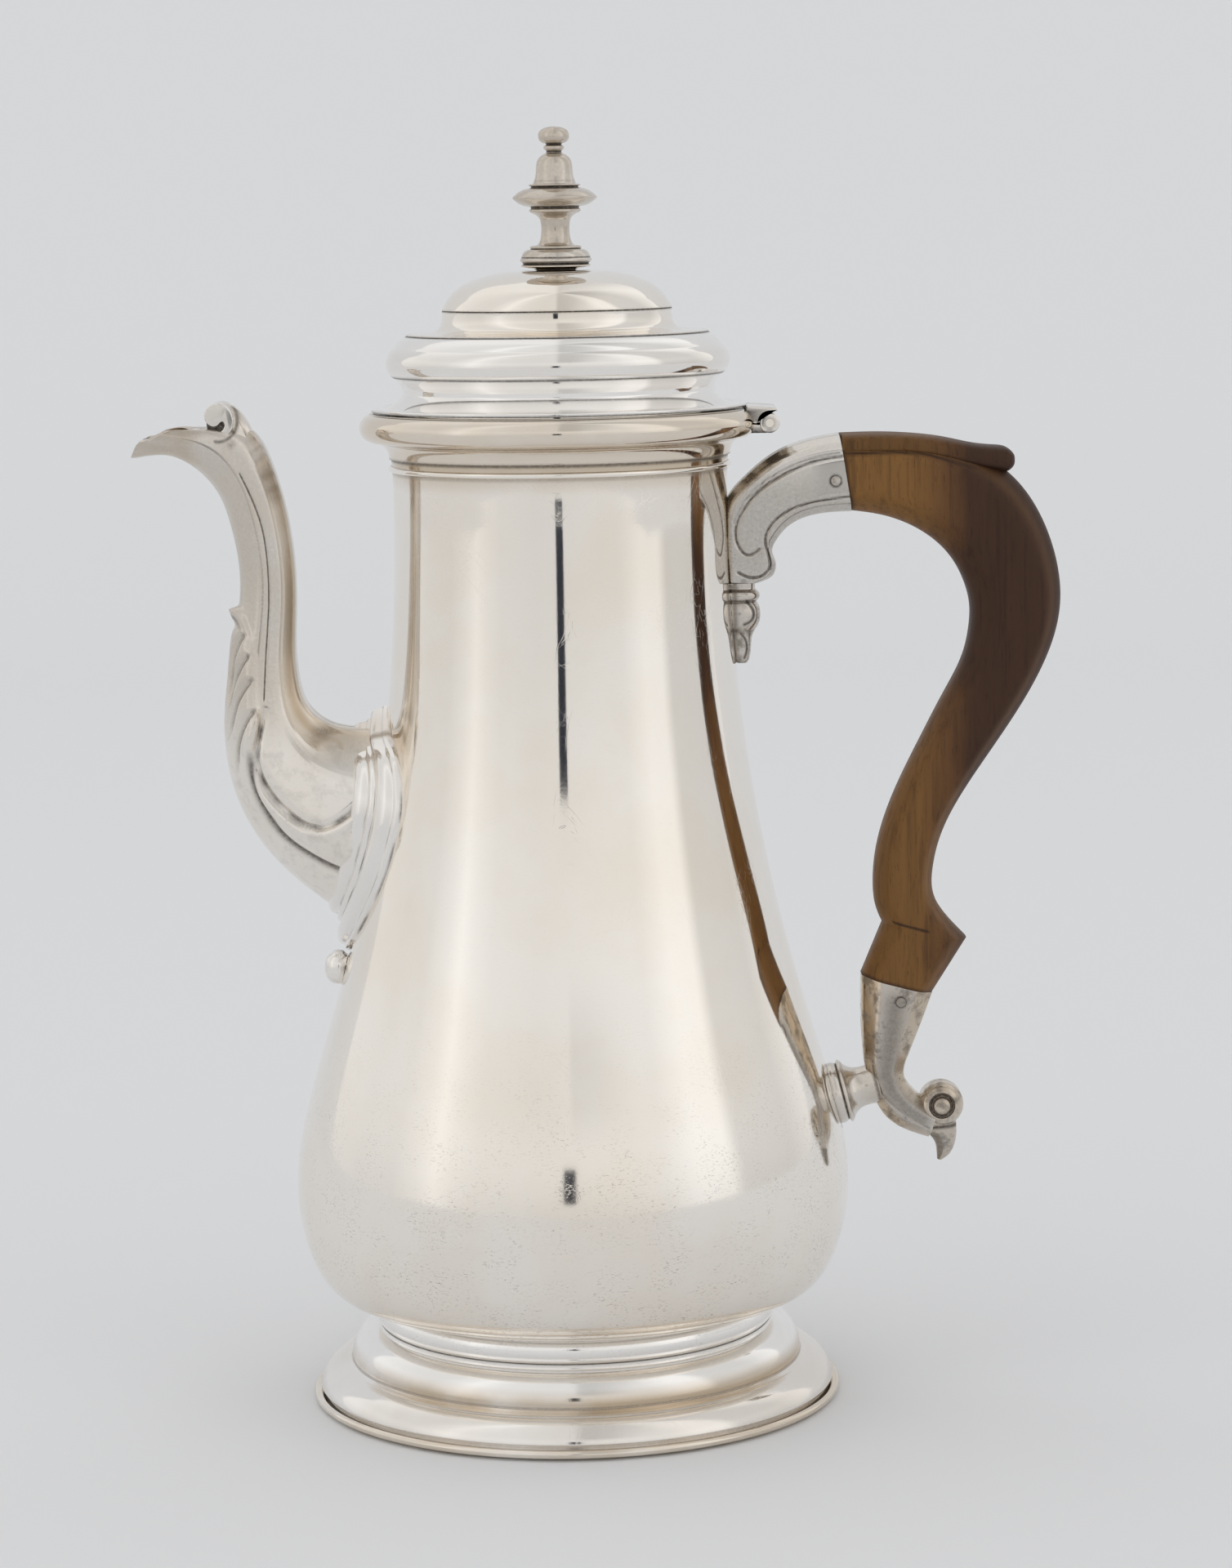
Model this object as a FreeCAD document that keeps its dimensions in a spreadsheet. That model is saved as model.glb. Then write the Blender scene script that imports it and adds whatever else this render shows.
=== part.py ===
import FreeCAD, Part
import math
import os
import Sketcher

# Single sizes, in millimetres and degrees
SIZES = {
    # Foot and collar
    "foot_rim_radius": 59.9,
    "foot_rim_width": 4.2,
    "foot_rim_edge": 0.8,
    "foot_rim_top": 2.5,
    "foot_rim_under": 2.6,
    "foot_groove_depth": 1.2,
    "foot_height": 17.5,
    "foot_wall": 1.2,
    "collar_height": 6.7,
    "collar_swell": 1.1,
    "collar_quirk": 5.3,
    "collar_taper": 1.6,
    # Raised body
    "body_height": 199.0,
    "body_wall": 0.9,
    "neck_radius": 37.1,
    "base_radius": 46.0,
    "base_spread": 5.0,
    # Applied wires round the neck
    "wire_drop": 13.0,
    "wire_height": 1.3,
    "wire_depth": 1.0,
    "rim_height": 10.2,
    "rim_lip": 0.8,
    # Strainer pierced behind the spout
    "strainer_drop": 89.0,
    "strainer_hole_radius": 1.5,
    "strainer_ring_step": 5.6,
    # Spout and its mount
    "spout_wall": 1.3,
    "scroll_radius": 3.4,
    "scroll_half_width": 6.2,
    "scroll_out": 25.4,
    "scroll_drop": 0.7,
    "drop_out": 0.9,
    "drop_radius": 2.5,
    "drop_half_height": 3.5,
    "drop_drop": 124.6,
    # Handle joints
    "pin_radius": 1.2,
    "pin_fit": 0.02,
    "pin_proud": 0.15,
    "tenon_fit": 0.1,
    "tenon_half_width": 5.2,
    "upper_tenon_height": 10.4,
    "upper_tenon_length": 10.0,
    "upper_pin_out": 23.8,
    "upper_pin_drop": 16.4,
    "lower_tenon_width": 7.4,
    "lower_tenon_length": 9.0,
    "lower_pin_out": 8.3,
    "lower_pin_height": 65.3,
    # Upper socket scroll and pendant
    "volute_out": 6.2,
    "volute_drop": 35.7,
    "volute_radius": 4.5,
    "volute_half_width": 4.8,
    "pendant_out": 2.7,
    # Lower socket curl and the boss that carries it
    "curl_out": 17.6,
    "curl_height": 40.8,
    "curl_radius": 5.3,
    "curl_half_width": 4.6,
    "eye_radius": 1.9,
    "eye_proud": 0.7,
    "beak_half_width": 2.6,
    "boss_out": -6.4,
    "boss_height": 43.3,
    "boss_tilt": 14.0,
    # Hinge
    "hinge_out": 2.1,
    "hinge_drop": 3.3,
    "hinge_width": 20.0,
    "knuckle_radius": 2.2,
    "middle_knuckle": 7.0,
    "knuckle_gap": 0.3,
    "hinge_pin_radius": 0.9,
    "hinge_pin_play": 0.05,
    "leaf_thickness": 1.3,
    "leaf_end": 1.8,
    "bracket_thickness": 1.9,
    "notch_depth": 3.4,
    # Lid
    "lid_gap": 0.25,
    "lid_wall": 1.0,
    "flange_out": 4.4,
    "flange_edge": 0.85,
    "bezel_play": 0.7,
    "bezel_depth": 8.0,
    "bezel_wall": 1.0,
    "bezel_rise": 0.9,
    "stud_radius": 1.8,
    "stud_fit": 0.02,
    "stud_length": 4.9,
    "nut_half_width": 3.6,
    "nut_thickness": 2.4,
}

# Turned points, as a distance out and a height above the piece's own foot.
# The foot's count out from its rim, the neck's, rim's and lid's from the neck, and the rest from the axis.
# The neck's heights count down from the rim.
TURNINGS = {
    "foot_torus_low": (-1.5, 3.3),
    "foot_torus": (-2.9, 6.4),
    "foot_torus_top": (-7.5, 8.8),
    "foot_step": (-8.6, 9.2),
    "foot_shoulder": (-8.9, 10.2),
    "foot_ovolo": (-10.7, 14.6),
    "neck_end": (0.0, -23.2),
    "neck_pull": (0.0, -25.7),
    "waist_pull": (0.2, -64.2),
    "flank_pull": (50.0, 70.3),
    "belly_pull": (66.0, 28.8),
    "under_pull": (58.0, 0.6),
    "rim_hollow": (1.5, 2.4),
    "rim_fillet": (3.5, 3.6),
    "rim_torus_low": (4.9, 3.9),
    "rim_torus": (7.2, 6.9),
    "rim_torus_top": (4.6, 10.0),
    "lid_flare": (-0.7, 1.7),
    "lid_waist": (-2.6, 3.8),
    "lid_hollow": (-2.0, 5.9),
    "lid_torus_low": (-0.3, 7.6),
    "lid_torus": (1.0, 11.0),
    "lid_torus_top": (-0.5, 13.7),
    "lid_shoulder": (-1.7, 15.3),
    "dome_seat": (-3.6, 16.5),
    "dome_ledge": (-7.9, 17.4),
    "drum_foot": (-11.7, 18.4),
    "drum_top": (-11.6, 22.1),
    "dome_bend": (-13.4, 25.1),
    "dome_haunch": (-16.6, 27.7),
    "dome_swell": (-22.6, 29.8),
    "dome_crown": (7.0, 30.4),
    "seat_foot": (6.6, 0.7),
    "seat_top": (5.0, 1.5),
    "finial_base": (7.9, 2.6),
    "finial_bead": (5.9, 4.6),
    "finial_sweep": (3.5, 7.0),
    "finial_stem": (2.9, 10.2),
    "finial_flare": (3.4, 11.9),
    "finial_lip": (5.6, 13.6),
    "finial_disc": (9.5, 16.0),
    "finial_collar": (5.6, 18.4),
    "bell_foot": (4.4, 19.2),
    "bell_side": (4.1, 22.6),
    "bell_top": (1.8, 25.6),
    "finial_ring": (2.5, 26.8),
    "finial_neck": (1.9, 27.7),
    "ball_low": (3.1, 28.4),
    "ball": (3.4, 29.7),
    "ball_high": (1.9, 30.9),
    "ball_top": (0.0, 31.5),
    "pendant_cap": (4.1, 17.0),
    "pendant_groove": (3.5, 13.8),
    "pendant_bulb": (4.35, 11.2),
    "pendant_waist": (2.45, 6.3),
    "pendant_tail": (1.7, 0.0),
    "boss_plate": (6.6, 1.2),
    "boss_groove": (6.1, 1.5),
    "boss_disc": (7.2, 1.9),
    "boss_hollow": (4.5, 3.9),
    "boss_neck": (3.6, 6.2),
    "boss_end": (4.0, 11.5),
}

# Lofted stations: outer point, inner point (distance out, level) and half width.
# Levels count down from the rim on the spout and the upper socket, and up from the body's foot on the lower one.
# On the handle they are shares of the way up from the lower joint to the upper one.
STATIONS = {
    "spout_root": (-6.0, 115.0, -13.0, 70.5, 14.5),
    "spout_neck": (4.2, 108.4, -1.8, 70.0, 14.0),
    "spout_swell": (15.6, 98.0, 4.0, 68.0, 12.4),
    "spout_bend": (23.4, 83.6, 7.8, 63.6, 10.6),
    "spout_rise": (25.2, 66.0, 9.4, 56.4, 8.8),
    "spout_stem": (23.4, 50.6, 9.6, 49.4, 7.4),
    "spout_waist": (21.8, 38.2, 9.2, 38.2, 6.7),
    "spout_throat": (23.6, 24.0, 11.0, 21.0, 6.7),
    "spout_turn": (27.4, 15.2, 14.0, 10.2, 7.1),
    "spout_beak": (34.6, 9.4, 18.4, 3.2, 7.7),
    "spout_mouth": (45.2, 8.0, 29.6, 2.0, 8.2),
    "upper_joint": (24.8, 6.3, 27.4, 23.4, 8.2),
    "upper_sleeve": (17.6, 7.6, 19.4, 23.8, 7.6),
    "upper_bend": (9.6, 10.8, 12.8, 26.8, 6.4),
    "upper_root": (3.4, 15.4, 9.4, 31.0, 5.4),
    "upper_heel": (-2.4, 23.0, 6.8, 36.8, 4.8),
    "handle_top": (38.3, 0.9992, 35.6, 0.8524, 8.6),
    "handle_shoulder": (52.0, 0.9754, 44.2, 0.8198, 9.0),
    "handle_turn": (63.4, 0.9199, 50.0, 0.7739, 9.2),
    "handle_back": (71.0, 0.8246, 53.0, 0.723, 9.2),
    "handle_crest": (73.9, 0.7056, 53.8, 0.6738, 9.2),
    "handle_fall": (70.7, 0.5992, 52.4, 0.6103, 9.0),
    "handle_flank": (33.0, 0.477, 18.7, 0.5325, 8.8),
    "handle_reach": (25.2, 0.3873, 12.8, 0.4436, 8.4),
    "handle_waist": (18.7, 0.2984, 6.5, 0.3381, 8.2),
    "handle_small": (16.1, 0.2254, 3.1, 0.2405, 8.2),
    "handle_heel": (16.8, 0.1643, 2.9, 0.169, 8.2),
    "handle_kick": (23.5, 0.0976, 4.7, 0.1262, 8.4),
    "lower_joint": (15.7, 66.7, -0.2, 71.0, 7.8),
    "lower_sleeve": (13.1, 59.6, -0.3, 61.8, 7.0),
    "lower_shank": (10.4, 52.7, 0.0, 54.2, 5.8),
    "lower_waist": (9.2, 48.7, 0.6, 48.7, 5.2),
    "lower_bend": (9.9, 45.8, 2.2, 43.2, 4.9),
    "lower_sweep": (12.0, 43.4, 5.0, 38.2, 4.8),
    "lower_foot": (14.6, 41.2, 9.6, 35.0, 4.7),
    "lower_toe": (16.8, 39.8, 14.6, 33.2, 4.6),
}

# Side-view points of carved and cast ends, as a distance out and a level
POINTS = {
    "crest_foot": (22.5, 3.6),
    "crest_root": (18.0, 4.2),
    "crest_back": (18.5, 2.4),
    "crest_top": (21.6, -1.3),
    "sprig_root": (48.0, 7.2),
    "sprig_top": (61.0, 9.4),
    "sprig_tip": (63.6, 12.6),
    "sprig_notch": (60.6, 15.6),
    "sprig_foot": (46.0, 14.0),
    "beak_root": (13.0, 34.2),
    "beak_hollow": (15.2, 31.8),
    "beak_tip": (17.2, 27.4),
    "beak_chin": (19.0, 27.8),
    "beak_bow": (20.0, 31.0),
    "beak_top": (19.4, 37.0),
}

# Spout mount steps: stand-off from the body, half width, and drops of peak, shoulder, widest and point
STEPS = {
    "mount_plate": (1.6, 21.8, 65.4, 71.6, 93.0, 120.8),
    "mount_band": (4.2, 18.4, 67.2, 72.4, 92.0, 117.0),
    "mount_cuff": (7.0, 15.4, 68.6, 73.0, 91.0, 112.4),
}

STRAINER_RINGS = ((0, 1), (1, 6), (2, 12))
NUT_SIDES = 6
SQUARE_EDGE = 0.5
BEAD_SWELL = 4 / 3
OCTAGON = ((0, -0.5), (0.2, -1), (0.8, -1), (1, -0.5), (1, 0.5), (0.8, 1), (0.2, 1), (0, 0.5))
SPOUT_HALF = ((0, 0), (0, 0.34), (0.24, 0.86), (0.62, 1), (0.9, 0.56), (1, 0.14), (1, 0))


class Size:
    """A dimension that carries its sheet formula and its present value together."""

    def __init__(self, formula, value):
        self.formula = formula
        self.value = value

    @staticmethod
    def of(item):
        """Return item itself if it is a Size, or else a plain number as one."""
        return item if isinstance(item, Size) else Size(f"({float(item)!r})", float(item))

    def joined(self, sign, other, value):
        return Size(f"({self.formula} {sign} {Size.of(other).formula})", value)

    def __add__(self, other):
        return self.joined("+", other, self.value + Size.of(other).value)

    def __sub__(self, other):
        return self.joined("-", other, self.value - Size.of(other).value)

    def __mul__(self, other):
        return self.joined("*", other, self.value * Size.of(other).value)

    def __truediv__(self, other):
        return self.joined("/", other, self.value / Size.of(other).value)

    def __neg__(self):
        return Size.of(0) - self


def span(start, end):
    """Distance between two side-view points."""
    run = end[0] - start[0]
    rise = end[1] - start[1]
    formula = f"sqrt({run.formula}^2 + {rise.formula}^2)"
    return Size(formula, math.hypot(run.value, rise.value))


def slope(start, end):
    """Downward angle of the line from one side-view point to another."""
    run = end[0] - start[0]
    fall = start[1] - end[1]
    angle = math.degrees(math.atan2(fall.value, run.value))
    return Size(f"atan2({fall.formula}; {run.formula})", angle)


class Sheet:
    """The spreadsheet of driving sizes, read back as Size values by name."""

    COLUMNS = "BCDEFG"

    def __init__(self, doc):
        self.cells = doc.addObject("Spreadsheet::Sheet", "sizes")
        self.values = {}
        self.row = 0
        for name, value in SIZES.items():
            self.write(name, {name: value})
        for name, (out, height) in TURNINGS.items():
            self.write(name, {f"{name}_turn": out, f"{name}_height": height})
        for name, (out, level, inner_out, inner_level, half_width) in STATIONS.items():
            row = {"out": out, "level": level, "inner_out": inner_out, "inner_level": inner_level}
            row["half_width"] = half_width
            self.write(name, {f"{name}_{key}": value for key, value in row.items()})
        for name, (out, level) in POINTS.items():
            self.write(name, {f"{name}_out": out, f"{name}_level": level})
        for name, (stand, half_width, peak, shoulder, widest, point) in STEPS.items():
            row = {"stand": stand, "half_width": half_width, "peak": peak}
            row.update({"shoulder": shoulder, "widest": widest, "point": point})
            self.write(name, {f"{name}_{key}": value for key, value in row.items()})
        doc.recompute()

    def write(self, title, entries):
        """Write one row of named cells."""
        self.row += 1
        self.cells.set(f"A{self.row}", title)
        for column, (name, value) in zip(self.COLUMNS, entries.items()):
            cell = f"{column}{self.row}"
            self.cells.set(cell, str(value))
            self.cells.setAlias(cell, name)
            self.values[name] = Size(f"sizes.{name}", value)

    def __getattr__(self, name):
        return self.values[name]

    def turning(self, name):
        """Distance out and height of a turned point."""
        return self.values[f"{name}_turn"], self.values[f"{name}_height"]


class Outline:
    """A closed outline that starts at one point and goes on by lines, arcs and curves."""

    def __init__(self, x, y):
        self.start = (Size.of(x), Size.of(y))
        self.strokes = []

    def line(self, x, y):
        self.strokes.append(("line", [(Size.of(x), Size.of(y))]))
        return self

    def arc(self, via, end):
        self.strokes.append(("arc", [via, end]))
        return self

    def curve(self, poles):
        self.strokes.append(("curve", list(poles)))
        return self

    def put(self, sketch):
        """Draw the outline in a sketch and tie every point to the sheet."""
        at = self.start
        ends = []
        for kind, points in self.strokes:
            ends.append(getattr(self, f"add_{kind}")(sketch, at, points))
            at = points[-1]
        geometry, begin, finish = zip(*ends)
        at = self.start
        for index, (_, points) in enumerate(self.strokes):
            before = index - 1
            link = (geometry[before], finish[before], geometry[index], begin[index])
            sketch.addConstraint(Sketcher.Constraint("Coincident", *link))
            tie(sketch, geometry[index], begin[index], at)
            at = points[-1]

    def add_line(self, sketch, at, points):
        return sketch.addGeometry(Part.LineSegment(vector(at), vector(points[0]))), 1, 2

    def add_arc(self, sketch, at, points):
        start, via, end = (vector(point) for point in [at] + points)
        leftward = (via - start).cross(end - via).z > 0
        arc = Part.Arc(start, via, end) if leftward else Part.Arc(end, via, start)
        index = sketch.addGeometry(arc)
        mark = sketch.addGeometry(Part.Point(via), True)
        sketch.addConstraint(Sketcher.Constraint("PointOnObject", mark, 1, index))
        tie(sketch, mark, 1, points[0])
        return (index, 1, 2) if leftward else (index, 2, 1)

    def add_curve(self, sketch, at, points):
        poles = [vector(at)] + [vector(point) for point in points]
        index = sketch.addGeometry(Part.BSplineCurve(poles, None, None, False, 3, None, False))
        first_pole = index + 1
        sketch.exposeInternalGeometry(index)
        for number, point in enumerate(points[:-1], 1):
            tie(sketch, first_pole + number, 3, point)
        return index, 1, 2


def vector(point):
    return FreeCAD.Vector(point[0].value, point[1].value, 0)


def tie(sketch, geometry, position, point):
    """Tie a sketch point to the sheet; a plain zero puts it on the axis."""
    for kind, axis, size in (("DistanceX", -2, point[0]), ("DistanceY", -1, point[1])):
        if size.formula == "(0.0)":
            sketch.addConstraint(Sketcher.Constraint("PointOnObject", geometry, position, axis))
            continue
        rule = Sketcher.Constraint(kind, -1, 1, geometry, position, size.value)
        sketch.setExpression(f"Constraints[{sketch.addConstraint(rule)}]", size.formula)


def add_circle(sketch, x, y, radius):
    """Draw a circle tied to the sheet."""
    x, y = Size.of(x), Size.of(y)
    circle = Part.Circle(vector((x, y)), FreeCAD.Vector(0, 0, 1), radius.value)
    index = sketch.addGeometry(circle)
    rule = sketch.addConstraint(Sketcher.Constraint("Radius", index, radius.value))
    sketch.setExpression(f"Constraints[{rule}]", radius.formula)
    tie(sketch, index, 3, (x, y))


class Piece:
    """One solid built up from sketches in a body of its own."""

    def __init__(self, doc, label):
        self.doc = doc
        self.body = doc.addObject("PartDesign::Body", label)
        self.body.Label = label

    def origin(self, role):
        return next(item for item in self.body.Origin.OriginFeatures if item.Role == role)

    def sketch(self, plane, outline=None):
        sketch = self.body.newObject("Sketcher::SketchObject", f"{self.body.Name}_sketch")
        sketch.AttachmentSupport = (self.origin(plane), [""])
        sketch.MapMode = "FlatFace"
        if outline is not None:
            outline.put(sketch)
        return sketch

    def feature(self, kind, sketch):
        feature = self.body.newObject(f"PartDesign::{kind}", f"{self.body.Name}_{kind}")
        feature.Profile = sketch
        return feature

    def revolve(self, outline):
        """Turn an outline about the upright axis."""
        sketch = self.sketch("XZ_Plane", outline)
        feature = self.feature("Revolution", sketch)
        feature.ReferenceAxis = (sketch, ["V_Axis"])
        feature.Angle = 360
        return self

    def pad(self, outline, length, plane="XZ_Plane", sides="Symmetric", backwards=False):
        """Thicken an outline, both ways unless told otherwise."""
        feature = self.feature("Pad", self.sketch(plane, outline))
        feature.SideType = sides
        feature.Reversed = backwards
        feature.setExpression("Length", length.formula)
        return self

    def round_pad(self, x, y, radius, length, sides="Symmetric", backwards=False):
        """Thicken a circle drawn in the side view."""
        sketch = self.sketch("XZ_Plane")
        add_circle(sketch, x, y, radius)
        feature = self.feature("Pad", sketch)
        feature.SideType = sides
        feature.Reversed = backwards
        feature.setExpression("Length", length.formula)
        return self

    def pocket(self, outline, length):
        """Cut an outline out of the piece, both ways from the side view."""
        feature = self.feature("Pocket", self.sketch("XZ_Plane", outline))
        feature.SideType = "Symmetric"
        feature.setExpression("Length", length.formula)
        return self

    def round_pocket(self, x, y, radius, length=None):
        """Cut a round hole across the piece, right through unless a length is given."""
        sketch = self.sketch("XZ_Plane")
        add_circle(sketch, x, y, radius)
        feature = self.feature("Pocket", sketch)
        feature.SideType = "Symmetric"
        if length is None:
            feature.Type = "ThroughAll"
        else:
            feature.setExpression("Length", length.formula)
        return self

    def loft(self, stations, shape, ruled=False):
        """Run a faceted section through stations."""
        sketches = [self.section(station, shape) for station in stations]
        feature = self.feature("AdditiveLoft", sketches[0])
        feature.Sections = sketches[1:]
        feature.Ruled = ruled
        return self

    def section(self, station, shape):
        """Draw one section on the plane through a station's two points."""
        outer, inner, half_width = station
        sketch = self.sketch("XY_Plane")
        turn = FreeCAD.Rotation(FreeCAD.Vector(0, 1, 0), 1)
        sketch.AttachmentOffset = FreeCAD.Placement(FreeCAD.Vector(0, 0, 0), turn)
        sketch.setExpression("AttachmentOffset.Base.x", inner[0].formula)
        sketch.setExpression("AttachmentOffset.Base.z", inner[1].formula)
        sketch.setExpression("AttachmentOffset.Rotation.Angle", slope(inner, outer).formula)
        length = span(inner, outer)
        corners = [section_corner(length, half_width, *corner) for corner in shape]
        outline = Outline(*corners[0])
        for corner in corners[1:] + corners[:1]:
            outline.line(*corner)
        outline.put(sketch)
        return sketch


def section_corner(length, half_width, along, across, wall=None):
    """One corner of a section, on its outside or a wall's thickness inside it."""
    if wall is None:
        return length * along if along else Size.of(0), half_width * across if across else Size.of(0)
    x = wall + (length - wall * 2) * along
    return x, (half_width - wall) * across if across else Size.of(0)


def boolean(doc, kind, label, base, *tools):
    """Join, cut or intersect whole solids under a new label."""
    result = base
    for number, tool in enumerate(tools, 1):
        last = number == len(tools)
        step = doc.addObject(f"Part::{kind}", label if last else f"{label}_step")
        step.Base = result
        step.Tool = tool
        result = step
    result.Label = label
    return result


class CoffeePot:
    """A baluster coffee pot: raised body, cast spout and sockets, hinged lid, wooden handle."""

    def __init__(self, doc):
        self.doc = doc
        self.size = Sheet(doc)
        self.base = self.size.foot_height + self.size.collar_height
        self.foot_top = self.size.base_radius - self.size.collar_taper
        self.top = self.base + self.size.body_height
        self.flange_edge = self.size.neck_radius + self.size.flange_out
        self.lid_seat = self.top + self.size.lid_gap
        self.crown = self.lid_seat + self.size.dome_crown_height
        self.rim_edge = self.size.neck_radius + self.size.rim_torus_turn
        self.hinge = (self.rim_edge + self.size.hinge_out, self.top - self.size.hinge_drop)
        self.core = self.solid_body("body_core", Size.of(0)).body
        self.nodes = []

    def piece(self, label):
        return Piece(self.doc, label)

    def keep(self, item):
        """Add a finished solid to the nodes that are written out."""
        solid = item.body if isinstance(item, Piece) else item
        self.nodes.append(solid)
        return solid

    def turned(self, name, foot, start=None):
        """A turned point, counted up from the given foot and out from the axis or a starting radius."""
        out, height = self.size.turning(name)
        return out if start is None else start + out, foot + height

    # Places measured from the body

    def upper(self, out, level):
        """A point on the handle's side, out from the neck and down from the rim."""
        return self.size.neck_radius + out, self.top - level

    def lower(self, out, level):
        """A point on the handle's side, out from the belly and up from the body's foot."""
        return self.size.belly_pull_turn + out, self.base + level

    def spout_side(self, out, level):
        """A point on the spout's side, out from the flank and down from the rim."""
        return -(self.size.flank_pull_turn + out), self.top - level

    def between_joints(self, share):
        """A height by its share of the way from the lower joint to the upper one."""
        low = self.base + self.size.lower_joint_level
        high = self.top - self.size.upper_joint_level
        return low + (high - low) * share

    def bend(self, out, share):
        """A point on the handle's upper bend, out from the neck."""
        return self.size.neck_radius + out, self.between_joints(share)

    def flank(self, out, share):
        """A point on the handle's lower part, out from the belly."""
        return self.size.belly_pull_turn + out, self.between_joints(share)

    def station(self, place, name):
        """A lofted station: its two side-view points and its half width."""
        value = self.size.values
        outer = place(value[f"{name}_out"], value[f"{name}_level"])
        inner = place(value[f"{name}_inner_out"], value[f"{name}_inner_level"])
        return outer, inner, value[f"{name}_half_width"]

    def stations(self, place, *names):
        return [self.station(place, name) for name in names]

    def point(self, place, name):
        return place(self.size.values[f"{name}_out"], self.size.values[f"{name}_level"])

    # Foot

    def foot_rim(self):
        """Flat wire that the pot stands on."""
        size = self.size
        edge = size.foot_rim_radius
        inner = edge - size.foot_rim_width
        top = size.foot_rim_top
        outline = Outline(inner, 0).line(edge - size.foot_rim_under, 0)
        outline.line(edge - size.foot_rim_edge / 2, top * 0.3)
        outline.arc((edge, top * 0.6), (edge - size.foot_rim_edge, top))
        outline.line(inner, top).line(inner, 0)
        self.keep(self.piece("foot_rim").revolve(outline))

    def foot_moulding(self):
        """Hollow stepped foot: a torus below and an ovolo above."""
        size = self.size
        wall = size.foot_wall
        ground = Size.of(0)
        rim_top = size.foot_rim_top
        rim = size.foot_rim_radius
        names = ("foot_torus_low", "foot_torus", "foot_torus_top", "foot_step", "foot_shoulder", "foot_ovolo")
        torus_low, torus, torus_top, step, shoulder, ovolo = (
            self.turned(name, ground, rim) for name in names
        )
        groove = torus_low[0] - size.foot_groove_depth
        neck = self.foot_top
        top = size.foot_height
        outline = Outline(groove, rim_top).line(groove, torus_low[1]).line(*torus_low)
        outline.arc(torus, torus_top).line(*step)
        outline.line(shoulder[0], step[1]).line(*shoulder).arc(ovolo, (neck, top))
        outline.line(neck - wall, top)
        outline.arc((ovolo[0] - wall, ovolo[1] - wall), (shoulder[0] - wall, step[1] - wall))
        outline.line(torus_top[0] - wall, torus_top[1] - wall)
        outline.line(groove - wall, rim_top).line(groove, rim_top)
        self.keep(self.piece("foot_moulding").revolve(outline))

    def foot_collar(self):
        """Swelling collar between the foot and the body."""
        size = self.size
        wall = size.foot_wall
        foot = self.foot_top
        middle = size.foot_height + size.collar_quirk / 2
        quirk = size.foot_height + size.collar_quirk
        outline = Outline(foot, size.foot_height)
        outline.arc((foot + size.collar_swell, middle), (foot, quirk)).line(size.base_radius, self.base)
        outline.line(size.base_radius - wall, self.base).line(foot - wall, quirk)
        outline.line(foot - wall, size.foot_height).line(foot, size.foot_height)
        self.keep(self.piece("foot_collar").revolve(outline))

    # Body

    def body_poles(self, stand):
        """Curve poles of the body's side from the neck down, moved outwards by a stand-off."""
        size = self.size
        neck = size.neck_radius
        poles = [self.turned(name, self.top, neck) for name in ("neck_end", "neck_pull", "waist_pull")]
        poles += [self.turned(name, self.base) for name in ("flank_pull", "belly_pull", "under_pull")]
        poles += [(size.base_radius + size.base_spread, self.base), (size.base_radius, self.base)]
        return [(radius + stand, height) for radius, height in poles]

    def solid_body(self, label, stand):
        """The body's outer form as a full solid, which other pieces are fitted against."""
        poles = self.body_poles(stand)
        outline = Outline(0, self.top).line(poles[0][0], self.top).line(*poles[0])
        outline.curve(poles[1:]).line(0, self.base).line(0, self.top)
        return self.piece(label).revolve(outline)

    def body_shell(self):
        """Raised vessel of even wall, pierced with a strainer behind the spout."""
        size = self.size
        wall = size.body_wall
        outer = self.body_poles(Size.of(0))
        inner = [(radius - wall, height) for radius, height in outer]
        floor = self.base + wall
        under = inner[5][0], inner[5][1] + wall
        inner[5:] = [under, (inner[6][0], floor), (inner[7][0], floor)]
        outline = Outline(inner[0][0], self.top).line(outer[0][0], self.top).line(*outer[0])
        outline.curve(outer[1:]).line(0, self.base).line(0, floor).line(*inner[7])
        outline.curve(inner[6::-1]).line(inner[0][0], self.top)
        shell = self.piece("body_shell").revolve(outline)
        self.pierce_strainer(shell)
        self.keep(shell)

    def pierce_strainer(self, shell):
        """Pierce rings of round holes through the wall towards the spout."""
        size = self.size
        sketch = shell.sketch("YZ_Plane")
        middle = self.top - size.strainer_drop
        for ring, count in STRAINER_RINGS:
            for number in range(count):
                angle = 2 * math.pi * number / count
                across = Size.of(0) if ring == 0 else size.strainer_ring_step * (ring * math.sin(angle))
                rise = size.strainer_ring_step * (ring * math.cos(angle))
                add_circle(sketch, across, middle + rise, size.strainer_hole_radius)
        holes = shell.feature("Pocket", sketch)
        holes.setExpression("Length", (size.belly_pull_turn * 2).formula)

    def neck_wire(self):
        """Thin wire round the neck below the rim."""
        size = self.size
        low = self.top - size.wire_drop
        high = low + size.wire_height
        edge = size.neck_radius + size.wire_depth / 2
        outline = Outline(size.neck_radius, low).line(edge, low)
        outline.arc((size.neck_radius + size.wire_depth, low + size.wire_height / 2), (edge, high))
        outline.line(size.neck_radius, high).line(size.neck_radius, low)
        self.keep(self.piece("neck_wire").revolve(outline))

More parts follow.
